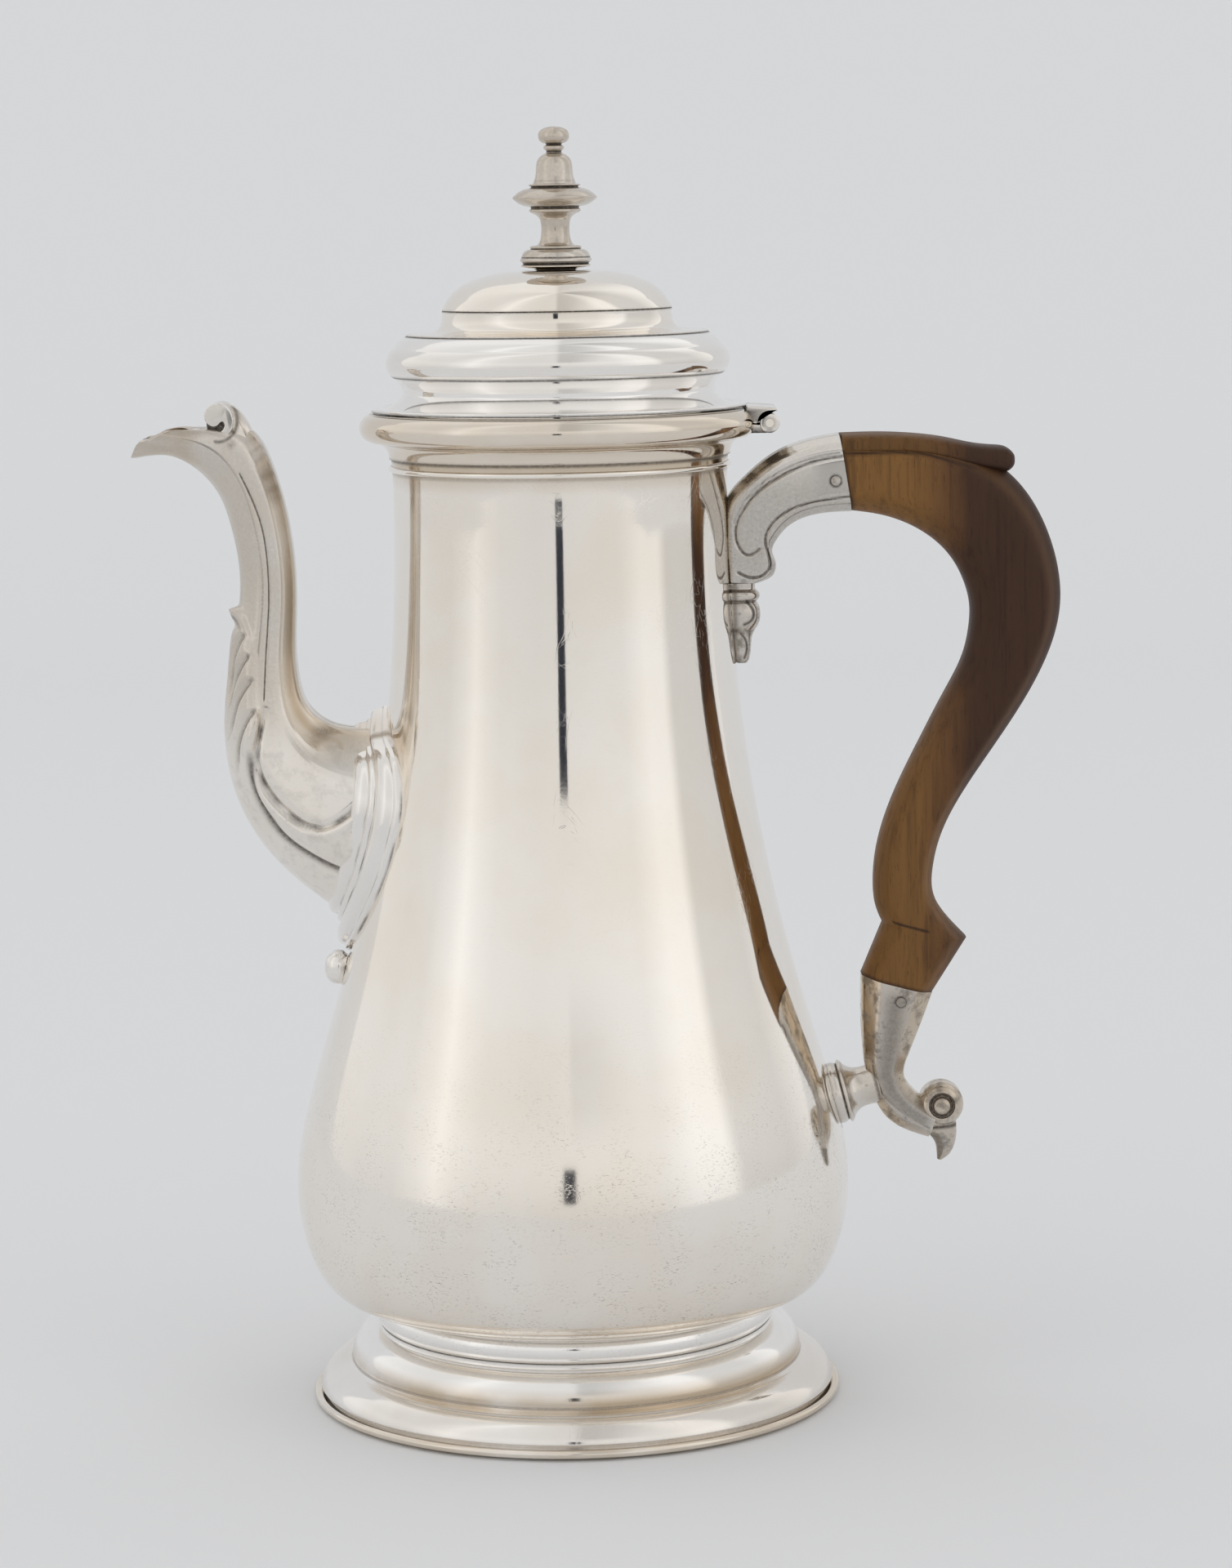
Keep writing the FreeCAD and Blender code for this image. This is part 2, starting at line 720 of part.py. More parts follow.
    def rim_moulding(self):
        """Moulded rim wire, notched flat where the hinge is let in."""
        size = self.size
        low = self.top - size.rim_height
        names = ("rim_hollow", "rim_fillet", "rim_torus_low", "rim_torus", "rim_torus_top")
        hollow, fillet, torus_low, torus, torus_top = (
            self.turned(name, low, size.neck_radius) for name in names
        )
        outline = Outline(size.neck_radius, low).line(size.neck_radius + size.rim_lip, low)
        outline.arc(hollow, fillet).line(*torus_low).arc(torus, torus_top)
        outline.line(torus_top[0], self.top).line(size.neck_radius, self.top).line(size.neck_radius, low)
        rim = self.piece("rim_moulding").revolve(outline)
        notch = self.notch_face()
        past = self.rim_edge + size.hinge_out
        cut = Outline(notch, low).line(past, low)
        cut.line(past, self.top + size.lid_gap).line(notch, self.top + size.lid_gap).line(notch, low)
        rim.pocket(cut, size.hinge_width + size.knuckle_gap * 2)
        self.keep(rim)

    def notch_face(self):
        """How far out the flat of the hinge notch stands."""
        return self.rim_edge - self.size.notch_depth

    # Spout

    def spout_stations(self):
        names = ("spout_root", "spout_neck", "spout_swell", "spout_bend", "spout_rise", "spout_stem")
        names += ("spout_waist", "spout_throat", "spout_turn", "spout_beak", "spout_mouth")
        return self.stations(self.spout_side, *names)

    def spout(self):
        """Cast spout in two seamed halves, on a stepped mount that follows the body."""
        wall = self.size.spout_wall
        mount_face = self.solid_body("mount_face", self.size.mount_cuff_stand).body
        for label, side in (("spout_left_half", -1), ("spout_right_half", 1)):
            half = self.spout_half(f"{label}_casting", side)
            self.keep(boolean(self.doc, "Cut", label, half.body, mount_face))
        far_side = [(along, -across) for along, across in SPOUT_HALF[-2:0:-1]]
        hollow = [(*corner, wall) for corner in [*SPOUT_HALF, *far_side]]
        channel = self.piece("spout_channel").loft(self.spout_stations(), hollow)
        steps = [self.mount_step(name) for name in STEPS]
        whole = boolean(self.doc, "Fuse", "spout_mount_steps", *steps)
        self.keep(boolean(self.doc, "Cut", "spout_mount", whole, self.core, channel.body))
        self.spout_drop()

    def spout_half(self, label, side):
        """One half of the casting: a faceted shell, rolled over at the mouth."""
        size = self.size
        outside = [(along, across * side) for along, across in SPOUT_HALF]
        inside = [(*corner, size.spout_wall) for corner in reversed(outside)]
        half = self.piece(label).loft(self.spout_stations(), outside + inside)
        roll = self.spout_side(size.scroll_out, size.scroll_drop)
        foot, root, back, top = (
            self.point(self.spout_side, f"crest_{name}") for name in ("foot", "root", "back", "top")
        )
        crest = Outline(*foot).line(*root).line(*back).line(*top)
        crest.line(roll[0], roll[1] + size.scroll_radius).line(*roll).line(*foot)
        half.pad(crest, size.scroll_half_width, sides="One side", backwards=side > 0)
        return half.round_pad(*roll, size.scroll_radius, size.scroll_half_width, "One side", side > 0)

    def mount_step(self, name):
        """One step of the mount: a shield outline held to an even stand-off from the body."""
        value = self.size.values
        half_width = value[f"{name}_half_width"]
        peak, shoulder, widest, point = (
            self.top - value[f"{name}_{key}"] for key in ("peak", "shoulder", "widest", "point")
        )
        bulge = (shoulder + widest) / 2 + (shoulder - widest) * 0.2
        fall = (widest + point) / 2 - (widest - point) * 0.12
        middle = half_width * 0.36
        outline = Outline(0, peak).line(middle, shoulder)
        outline.arc((half_width * 0.86, bulge), (half_width, widest))
        outline.arc((half_width * 0.72, fall), (Size.of(0), point))
        outline.arc((-half_width * 0.72, fall), (-half_width, widest))
        outline.arc((-half_width * 0.86, bulge), (-middle, shoulder)).line(0, peak)
        shield = self.piece(f"{name}_shield")
        reach = self.size.belly_pull_turn * 2
        shield.pad(outline, reach, "YZ_Plane", "One side", True)
        form = self.solid_body(f"{name}_form", value[f"{name}_stand"])
        return boolean(self.doc, "Common", name, shield.body, form.body)

    def spout_drop(self):
        """Bead that hangs below the point of the mount."""
        size = self.size
        bead = self.piece("spout_drop_bead")
        half = size.drop_half_height
        swell = size.drop_radius * BEAD_SWELL
        outline = Outline(0, -half)
        outline.curve([(swell, -half), (swell, half), (Size.of(0), half)]).line(0, -half)
        bead.revolve(outline)
        place = self.spout_side(size.drop_out, size.drop_drop)
        bead.body.setExpression("Placement.Base.x", place[0].formula)
        bead.body.setExpression("Placement.Base.z", place[1].formula)
        self.keep(boolean(self.doc, "Cut", "spout_drop", bead.body, self.core))

    # Handle

    def upper_socket(self):
        """Cast upper socket: a sleeve that bends down to the neck and ends in a volute."""
        size = self.size
        names = ("upper_joint", "upper_sleeve", "upper_bend", "upper_root", "upper_heel")
        socket = self.piece("upper_socket_casting").loft(self.stations(self.upper, *names), OCTAGON)
        volute = self.upper(size.volute_out, size.volute_drop)
        socket.round_pad(*volute, size.volute_radius, size.volute_half_width * 2)
        socket.pad(self.volute_web(), size.volute_half_width * 2)
        socket.pocket(self.upper_tenon(size.tenon_fit), self.tenon_width(size.tenon_fit))
        socket.round_pocket(*self.upper_pin_place(), size.pin_radius + size.pin_fit)
        self.upper_casting = self.keep(boolean(self.doc, "Cut", "upper_socket", socket.body, self.core))

    def volute_web(self):
        """Side view of the plate that joins the volute to the sleeve and to the neck."""
        size = self.size
        x, z = self.upper(size.volute_out, size.volute_drop)
        near = size.neck_radius - size.body_wall / 2
        heel = self.station(self.upper, "upper_root")
        low = z - size.volute_radius * 0.8
        web = Outline(near, low).line(x, low).line(x + size.volute_radius * 0.8, z + size.volute_radius * 0.6)
        return web.line(*heel[1]).line(*heel[0]).line(near, heel[0][1]).line(near, low)

    def tenon_width(self, fit):
        return (self.size.tenon_half_width + fit) * 2

    def upper_pin_place(self):
        return self.upper(self.size.upper_pin_out, self.size.upper_pin_drop)

    def lower_pin_place(self):
        return self.lower(self.size.lower_pin_out, self.size.lower_pin_height)

    def upper_tenon(self, fit):
        """Side view of the tenon at the handle's upper end, with a fit all round."""
        size = self.size
        outer, inner, _ = self.station(self.upper, "upper_joint")
        middle = (outer[1] + inner[1]) / 2
        near = outer[0] - size.upper_tenon_length - fit
        far = inner[0]
        low = middle - size.upper_tenon_height / 2 - fit
        high = middle + size.upper_tenon_height / 2 + fit
        return Outline(near, low).line(far, low).line(far, high).line(near, high).line(near, low)

    def lower_tenon(self, fit):
        """Side view of the tenon at the handle's lower end, with a fit all round."""
        size = self.size
        outer, inner, _ = self.station(self.lower, "lower_joint")
        middle = (outer[0] + inner[0]) / 2
        near = middle - size.lower_tenon_width / 2 - fit
        far = middle + size.lower_tenon_width / 2 + fit
        low = outer[1] - size.lower_tenon_length - fit
        high = inner[1]
        return Outline(near, low).line(far, low).line(far, high).line(near, high).line(near, low)

    def upper_pendant(self):
        """Turned pendant below the volute, flat against the neck."""
        size = self.size
        pendant = self.piece("upper_pendant_turning")
        low = self.upper(0, size.volute_drop)[1] - size.volute_radius - size.pendant_cap_height
        names = ("pendant_tail", "pendant_waist", "pendant_bulb", "pendant_groove", "pendant_cap")
        tail, waist, bulb, groove, cap = (self.turned(name, low) for name in names)
        outline = Outline(0, tail[1]).line(*tail).line(*waist).arc(bulb, groove)
        outline.line(cap[0], groove[1]).line(*cap).line(0, cap[1]).line(0, tail[1])
        pendant.revolve(outline)
        pendant.body.setExpression("Placement.Base.x", self.upper(size.pendant_out, 0)[0].formula)
        tools = (self.core, self.upper_casting)
        self.keep(boolean(self.doc, "Cut", "upper_pendant", pendant.body, *tools))

    def lower_socket(self):
        """Cast lower socket: a tapering sleeve that turns out into a curl with a beak below it."""
        size = self.size
        names = ("lower_joint", "lower_sleeve", "lower_shank", "lower_waist")
        names += ("lower_bend", "lower_sweep", "lower_foot", "lower_toe")
        socket = self.piece("lower_socket").loft(self.stations(self.lower, *names), OCTAGON)
        curl = self.lower(size.curl_out, size.curl_height)
        socket.round_pad(*curl, size.curl_radius, size.curl_half_width * 2)
        socket.round_pad(*curl, size.eye_radius, (size.curl_half_width + size.eye_proud) * 2)
        root, hollow, tip, chin, bow, top = (
            self.point(self.lower, f"beak_{name}") for name in ("root", "hollow", "tip", "chin", "bow", "top")
        )
        beak = Outline(*root).line(*hollow).line(*tip).line(*chin).line(*bow).line(*top).line(*root)
        socket.pad(beak, size.beak_half_width * 2)
        socket.pocket(self.lower_tenon(size.tenon_fit), self.tenon_width(size.tenon_fit))
        socket.round_pocket(*self.lower_pin_place(), size.pin_radius + size.pin_fit)
        self.lower_casting = self.keep(socket)

    def lower_boss(self):
        """Turned boss that carries the lower socket clear of the belly."""
        size = self.size
        boss = self.piece("lower_boss_turning")
        names = ("boss_plate", "boss_groove", "boss_disc", "boss_hollow", "boss_neck", "boss_end")
        plate, groove, disc, hollow, neck, end = (self.turned(name, Size.of(0)) for name in names)
        root = -size.boss_plate_turn
        outline = Outline(0, root).line(plate[0], root).line(*plate).line(*groove).line(*disc)
        outline.line(disc[0], disc[1] + SQUARE_EDGE).arc(hollow, neck).line(*end)
        outline.line(0, end[1]).line(0, root)
        boss.revolve(outline)
        place = self.lower(size.boss_out, size.boss_height)
        turn = FreeCAD.Rotation(FreeCAD.Vector(0, 1, 0), 1)
        boss.body.Placement = FreeCAD.Placement(FreeCAD.Vector(0, 0, 0), turn)
        boss.body.setExpression("Placement.Base.x", place[0].formula)
        boss.body.setExpression("Placement.Base.z", place[1].formula)
        boss.body.setExpression("Placement.Rotation.Angle", (Size.of(90) - size.boss_tilt).formula)
        tools = (self.core, self.lower_casting)
        self.keep(boolean(self.doc, "Cut", "lower_boss", boss.body, *tools))

    def handle(self):
        """Carved wooden handle with a sprig on top, a kick below and a tenon at each end."""
        size = self.size
        high = ("handle_top", "handle_shoulder", "handle_turn", "handle_back", "handle_crest", "handle_fall")
        low = ("handle_flank", "handle_reach", "handle_waist", "handle_small", "handle_heel", "handle_kick")
        stations = [self.station(self.upper, "upper_joint"), *self.stations(self.bend, *high)]
        stations += self.stations(self.flank, *low)
        handle = self.piece("handle").loft(stations, OCTAGON)
        handle.loft([stations[-1], self.station(self.lower, "lower_joint")], OCTAGON, ruled=True)
        root, top, tip, notch, foot = (
            self.point(self.upper, f"sprig_{name}") for name in ("root", "top", "tip", "notch", "foot")
        )
        sprig = Outline(*root).line(*top).line(*tip).line(*notch).line(*foot).line(*root)
        handle.pad(sprig, size.handle_shoulder_half_width)
        handle.pad(self.upper_tenon(Size.of(0)), self.tenon_width(0))
        handle.pad(self.lower_tenon(Size.of(0)), self.tenon_width(0))
        for place in (self.upper_pin_place(), self.lower_pin_place()):
            handle.round_pocket(*place, size.pin_radius + size.pin_fit)
        self.keep(handle)

    def handle_pins(self):
        """Silver pins through the sockets and tenons."""
        size = self.size
        upper = (size.upper_joint_half_width + size.pin_proud) * 2
        lower = (size.lower_joint_half_width + size.pin_proud) * 2
        for label, place, length in (
            ("upper_pin", self.upper_pin_place(), upper),
            ("lower_pin", self.lower_pin_place(), lower),
        ):
            self.keep(self.piece(label).round_pad(*place, size.pin_radius, length))

    # Hinge

    def hinge_body_leaf(self):
        """Bracket let into the rim, with the two outer knuckles."""
        size = self.size
        x, z = self.hinge
        low = z - size.knuckle_radius
        high = low + size.bracket_thickness
        near = self.notch_face()
        bracket = Outline(near, low).line(x, low).line(x, high).line(near, high).line(near, low)
        leaf = self.piece("hinge_body_leaf").pad(bracket, size.hinge_width)
        leaf.round_pad(x, z, size.knuckle_radius, size.hinge_width)
        gap = size.knuckle_gap
        leaf.round_pocket(x, z, size.knuckle_radius + gap, size.middle_knuckle + gap * 2)
        leaf.round_pocket(x, z, size.hinge_pin_radius + size.pin_fit)
        self.keep(leaf)

    def hinge_lid_leaf(self):
        """Plate from the lid's flange over the barrel, with the middle knuckle below it."""
        size = self.size
        x, z = self.hinge
        low = z + size.knuckle_radius + size.knuckle_gap
        high = low + size.leaf_thickness
        seat = self.lid_seat
        near = self.notch_face() + size.knuckle_gap
        root = self.flange_edge - size.notch_depth / 2
        far = x + size.leaf_end
        plate = Outline(near, low).line(far, low).line(far, high).line(root, high)
        plate.line(root, seat).line(near, seat).line(near, low)
        leaf = self.piece("hinge_lid_plate").pad(plate, size.hinge_width)
        leaf.round_pad(x, z, size.knuckle_radius, size.middle_knuckle)
        web = size.knuckle_radius * 0.6
        rib = Outline(x - web, z).line(x + web, z).line(x + web, low).line(x - web, low).line(x - web, z)
        leaf.pad(rib, size.middle_knuckle)
        leaf.round_pocket(x, z, size.hinge_pin_radius + size.hinge_pin_play)
        self.keep(boolean(self.doc, "Cut", "hinge_lid_leaf", leaf.body, self.lid_flange))

    def hinge_pin(self):
        """Pin through the three knuckles."""
        size = self.size
        length = size.hinge_width + size.pin_proud * 2
        self.keep(self.piece("hinge_pin").round_pad(*self.hinge, size.hinge_pin_radius, length))

    # Lid

    def bezel_radius(self):
        """Outer radius of the ring that drops into the neck."""
        return self.size.neck_radius - self.size.body_wall - self.size.bezel_play

    def lid_moulding(self):
        """Moulded lower part of the lid: flared flange, waist and torus."""
        size = self.size
        wall = size.lid_wall
        seat = self.lid_seat
        names = ("lid_flare", "lid_waist", "lid_hollow", "lid_torus_low")
        neck = size.neck_radius
        flare, waist, hollow, torus_low = (self.turned(name, seat, neck) for name in names)
        names = ("lid_torus", "lid_torus_top", "lid_shoulder", "dome_seat")
        torus, torus_top, shoulder, dome_seat = (self.turned(name, seat, neck) for name in names)
        bezel = self.bezel_radius()
        rise = seat + size.bezel_rise
        outline = Outline(bezel, seat).line(self.flange_edge, seat)
        outline.line(self.flange_edge, seat + size.flange_edge)
        outline.arc(flare, waist).arc(hollow, torus_low)
        outline.arc(torus, torus_top).arc(shoulder, dome_seat)
        outline.line(dome_seat[0] - wall, dome_seat[1])
        outline.line(torus_top[0] - wall, torus_top[1] - wall / 2)
        outline.line(torus[0] - wall, torus[1]).line(torus_low[0] - wall, torus_low[1])
        outline.line(waist[0] - wall, waist[1]).line(bezel - size.bezel_wall, rise)
        outline.line(bezel, rise).line(bezel, seat)
        self.lid_flange = self.keep(self.piece("lid_moulding").revolve(outline))

    def lid_dome(self):
        """Raised upper part of the lid: ledge, short drum and dome, bored for the finial."""
        size = self.size
        wall = size.lid_wall
        names = ("dome_seat", "dome_ledge", "drum_foot", "drum_top")
        neck = size.neck_radius
        seat, ledge, drum_foot, drum_top = (self.turned(name, self.lid_seat, neck) for name in names)
        names = ("dome_bend", "dome_haunch", "dome_swell")
        bend, haunch, swell = (self.turned(name, self.lid_seat, neck) for name in names)
        crown = self.turned("dome_crown", self.lid_seat)
        bore = size.stud_radius + size.stud_fit
        outline = Outline(bore, crown[1] - wall).line(bore, crown[1]).line(*crown)
        outline.arc(swell, haunch).arc(bend, drum_top).line(*drum_foot)
        outline.arc(ledge, (seat[0], seat[1] + wall / 4)).line(*seat)
        outline.line(seat[0] - wall * 2, seat[1]).line(drum_foot[0] - wall, drum_foot[1] - wall)
        outline.line(drum_top[0] - wall, drum_top[1])
        outline.arc((bend[0] - wall, bend[1] - wall / 2), (haunch[0] - wall / 2, haunch[1] - wall))
        outline.arc((swell[0], swell[1] - wall), (crown[0], crown[1] - wall)).line(bore, crown[1] - wall)
        self.keep(self.piece("lid_dome").revolve(outline))

    def lid_bezel(self):
        """Ring below the lid that keeps it in the neck."""
        size = self.size
        outer = self.bezel_radius()
        inner = outer - size.bezel_wall
        low = self.lid_seat - size.bezel_depth
        high = self.lid_seat + size.bezel_rise
        outline = Outline(inner, low).line(outer, low).line(outer, high).line(inner, high).line(inner, low)
        self.keep(self.piece("lid_bezel").revolve(outline))

    def finial_seat(self):
        """Small washer between the dome and the finial."""
        foot = self.turned("seat_foot", self.crown)
        top = self.turned("seat_top", self.crown)
        bore = self.size.stud_radius + self.size.stud_fit
        outline = Outline(bore, self.crown).line(foot[0], self.crown).line(*foot).line(*top)
        outline.line(bore, top[1]).line(bore, self.crown)
        self.keep(self.piece("finial_seat").revolve(outline))

    def finial(self):
        """Turned finial with a stud through the dome."""
        size = self.size
        names = ("finial_base", "finial_bead", "finial_sweep", "finial_stem", "finial_flare", "finial_lip")
        base, bead, sweep, stem, flare, lip = (self.turned(name, self.crown) for name in names)
        names = ("finial_disc", "finial_collar", "bell_foot", "bell_side", "bell_top")
        disc, collar, bell_foot, bell_side, bell_top = (self.turned(name, self.crown) for name in names)
        names = ("finial_ring", "finial_neck", "ball_low", "ball", "ball_high", "ball_top")
        ring, neck, ball_low, ball, ball_high, ball_top = (self.turned(name, self.crown) for name in names)
        foot = self.crown + size.seat_top_height
        tail = self.crown - size.stud_length
        outline = Outline(0, tail).line(size.stud_radius, tail).line(size.stud_radius, foot)
        outline.line(base[0], foot).line(*base).line(*bead).arc(sweep, stem).arc(flare, lip)
        outline.line(*disc).line(*collar).line(*bell_foot).arc(bell_side, bell_top)
        outline.line(*ring).line(*neck).arc(ball_low, ball)
        outline.curve([(ball[0], ball_high[1]), (ball_high[0], ball_top[1]), (Size.of(0), ball_top[1])])
        outline.line(0, tail)
        self.keep(self.piece("finial").revolve(outline))

    def finial_nut(self):
        """Six-sided nut on the stud inside the dome."""
        size = self.size
        nut = self.piece("finial_nut")
        reach = size.nut_half_width / math.cos(math.pi / NUT_SIDES)
        corners = []
        for number in range(NUT_SIDES):
            angle = 2 * math.pi * (number + SQUARE_EDGE) / NUT_SIDES
            corners.append((reach * math.cos(angle), reach * math.sin(angle)))
        outline = Outline(*corners[0])
        for corner in corners[1:] + corners[:1]:
            outline.line(*corner)
        sketch = nut.sketch("XY_Plane", outline)
        add_circle(sketch, 0, 0, size.stud_radius + size.stud_fit)
        pad = nut.feature("Pad", sketch)
        pad.setExpression("Length", size.nut_thickness.formula)
        under = self.crown - size.lid_wall - size.nut_thickness
        nut.body.setExpression("Placement.Base.z", under.formula)
        self.keep(nut)

    def build(self):
        """Model every piece of the pot, from the foot up."""
        self.foot_rim()
        self.foot_moulding()
        self.foot_collar()
        self.body_shell()
        self.neck_wire()
        self.rim_moulding()
        self.spout()
        self.upper_socket()
        self.upper_pendant()
        self.lower_socket()
        self.lower_boss()
        self.handle()
        self.handle_pins()
        self.lid_moulding()
        self.lid_dome()
        self.lid_bezel()
        self.hinge_body_leaf()
        self.hinge_lid_leaf()
        self.hinge_pin()
        self.finial_seat()
        self.finial()
        self.finial_nut()
        self.doc.recompute()
        return self.nodes


def check(doc, nodes):
    """Stop before writing if any feature failed or any solid is unsound."""
    for item in doc.Objects:
        if "Invalid" in item.State or "Error" in item.State:
            raise RuntimeError(f"{item.Label} did not build: {item.State}")
    for node in nodes:
        shape = node.Shape
        if shape.isNull() or not shape.isValid() or len(shape.Solids) != 1:
            raise RuntimeError(f"{node.Label} is not one sound solid")


def main():
    doc = FreeCAD.newDocument("coffee_pot")
    nodes = CoffeePot(doc).build()
    check(doc, nodes)
    os.makedirs("parts", exist_ok=True)
    for node in nodes:
        node.Shape.exportStep(f"parts/{node.Label}.step")
        print(f"{node.Label}: {node.Shape.Volume:.1f} cubic mm")


main()
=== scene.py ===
"""Looks of a silver coffee pot with a carved wooden handle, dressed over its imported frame."""

import logging
import math
from collections.abc import Mapping, Sequence
from dataclasses import dataclass, field
from enum import Enum

import bpy
import numpy as np
from mathutils import Matrix, Vector


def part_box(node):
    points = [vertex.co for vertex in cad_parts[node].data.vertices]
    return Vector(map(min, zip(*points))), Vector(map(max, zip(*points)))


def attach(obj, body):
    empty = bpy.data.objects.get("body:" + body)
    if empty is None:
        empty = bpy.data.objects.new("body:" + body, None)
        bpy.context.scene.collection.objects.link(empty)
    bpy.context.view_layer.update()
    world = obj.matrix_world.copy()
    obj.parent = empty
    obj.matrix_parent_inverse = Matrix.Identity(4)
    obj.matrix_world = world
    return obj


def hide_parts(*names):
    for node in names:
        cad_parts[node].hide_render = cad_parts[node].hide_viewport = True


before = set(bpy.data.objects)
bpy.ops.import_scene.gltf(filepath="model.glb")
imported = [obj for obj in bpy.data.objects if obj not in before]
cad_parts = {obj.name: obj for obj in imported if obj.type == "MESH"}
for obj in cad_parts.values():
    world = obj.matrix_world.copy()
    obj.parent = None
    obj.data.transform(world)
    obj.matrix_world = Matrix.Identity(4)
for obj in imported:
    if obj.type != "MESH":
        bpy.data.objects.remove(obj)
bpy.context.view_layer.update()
MM = 0.001
MOST_PLACES = 20000  # measured against a line at one time
PLAIN_TURN = 0.16  # radians, below which a corner isn't rounded
ROUNDED_SHARE = 0.45  # of a stretch, the most that a corner's rounding takes
LEAST_RADIUS = 1e-3  # millimetres, so that no ring of points is a single place
TINY = 1e-9
FAR = 1e9
log = logging.getLogger("coffee_pot")

Point = tuple[float, float]
Place = tuple[float, float, float]
Colour = tuple[float, float, float]
Ring = tuple[float, float, float, float]


class Rigid(Enum):
    """The bodies of the frame that pieces ride on."""

    POT = "pot"
    LID = "lid"


class Slot(Enum):
    """Material slots of the record."""

    RAISED = "raised_silver"
    CAST = "cast_silver"
    WOOD = "fruitwood"


# Curves


def bell(away: np.ndarray, width: float) -> np.ndarray:
    """Fall smoothly from 1 at no distance, and be mostly gone past a width."""
    return np.exp(-((away / width) ** 2))


def ramp(value: np.ndarray, start: float, end: float) -> np.ndarray:
    """Go from 0 at start to 1 at end, which may be the smaller."""
    return np.clip((value - start) / (end - start), 0.0, 1.0)


def both_sides(*places: Place) -> np.ndarray:
    """Return places and their mirror images across the pot's middle plane, one per row."""
    return np.array([(x, side * y, z) for x, y, z in places for side in (-1, 1)])


def spline_through(knots: Sequence[Sequence[float]], count: int) -> np.ndarray:
    """Run a natural cubic spline through knots.

    Args:
        knots: One row per knot, with any number of columns.
        count: How many rows to return.

    Returns:
        Rows evenly spaced along the spline's own measure.
    """
    knots = np.array(knots, float)
    steps = np.linalg.norm(np.diff(knots[:, :4], axis=0), axis=1)
    at = np.concatenate([[0.0], np.cumsum(steps)])
    size = len(knots)
    gaps = np.diff(at)
    matrix = np.eye(size)
    right = np.zeros_like(knots)
    for row in range(1, size - 1):
        matrix[row, row - 1 : row + 2] = gaps[row - 1], 2 * (gaps[row - 1] + gaps[row]), gaps[row]
        slopes = (knots[row + 1] - knots[row]) / gaps[row] - (knots[row] - knots[row - 1]) / gaps[row - 1]
        right[row] = 6 * slopes
    bend = np.linalg.solve(matrix, right)
    where = np.linspace(0.0, at[-1], count)
    span = np.clip(np.searchsorted(at, where, "right") - 1, 0, size - 2)
    left, gap = (where - at[span])[:, None], gaps[span][:, None]
    back = gap - left
    curved = (bend[span] * back**3 + bend[span + 1] * left**3) / (6 * gap)
    straight = (knots[span] / gap - bend[span] * gap / 6) * back
    return curved + straight + (knots[span + 1] / gap - bend[span + 1] * gap / 6) * left


def bspline(poles: Sequence[Point], count: int) -> np.ndarray:
    """Sample a clamped cubic B-spline with evenly spaced knots.

    Args:
        poles: Control points.
        count: How many points to return.

    Returns:
        Points from the first pole to the last.
    """
    control = np.array(poles, float)
    inner = len(control) - 3
    knots = np.concatenate([[0.0] * 3, np.linspace(0.0, 1.0, inner + 1), [1.0] * 3])
    found = []
    for at in np.linspace(0.0, 1.0, count):
        span = min(int(np.searchsorted(knots, at, "right")) - 1, len(control) - 1)
        points = control[span - 3 : span + 1].copy()
        for level in range(1, 4):
            for index in range(3, level - 1, -1):
                low = knots[span - 3 + index]
                high = knots[span + 1 + index - level]
                share = (at - low) / (high - low)
                points[index] = (1 - share) * points[index - 1] + share * points[index]
        found.append(points[3])
    return np.array(found)


def softened(outline: np.ndarray, reach: float, closed: bool) -> np.ndarray:
    """Round the corners of an outline.

    Args:
        outline: Corner points, one per row.
        reach: How far from a corner its rounding starts, at most.
        closed: Whether the last point joins the first.

    Returns:
        The outline with each sharp corner replaced by a short curve.
    """
    found = []
    size = len(outline)
    for index, corner in enumerate(outline):
        if not closed and index in (0, size - 1):
            found.append(corner)
            continue
        before, after = outline[index - 1], outline[(index + 1) % size]
        back, on = before - corner, after - corner
        long_back, long_on = np.linalg.norm(back), np.linalg.norm(on)
        if min(long_back, long_on) < TINY:
            continue
        turn = math.acos(max(-1.0, min(1.0, -float(back @ on) / (long_back * long_on))))
        if turn < PLAIN_TURN:
            found.append(corner)
            continue
        start = corner + back / long_back * min(reach, ROUNDED_SHARE * long_back)
        end = corner + on / long_on * min(reach, ROUNDED_SHARE * long_on)
        for share in np.linspace(0.0, 1.0, 5):
            found.append((1 - share) ** 2 * start + 2 * share * (1 - share) * corner + share**2 * end)
    return np.array(found)


def resampled(outline: np.ndarray, longest: float) -> np.ndarray:
    """Add points to an outline so that no stretch is longer than a limit.

    Args:
        outline: Points, one per row.
        longest: Longest stretch to leave.

    Returns:
        The outline with the added points.
    """
    found = [outline[:1]]
    for start, end in zip(outline[:-1], outline[1:]):
        pieces = max(1, math.ceil(float(np.linalg.norm(end - start)) / longest))
        shares = np.linspace(0.0, 1.0, pieces + 1)[1:, None]
        found.append(start + (end - start) * shares)
    return np.concatenate(found)


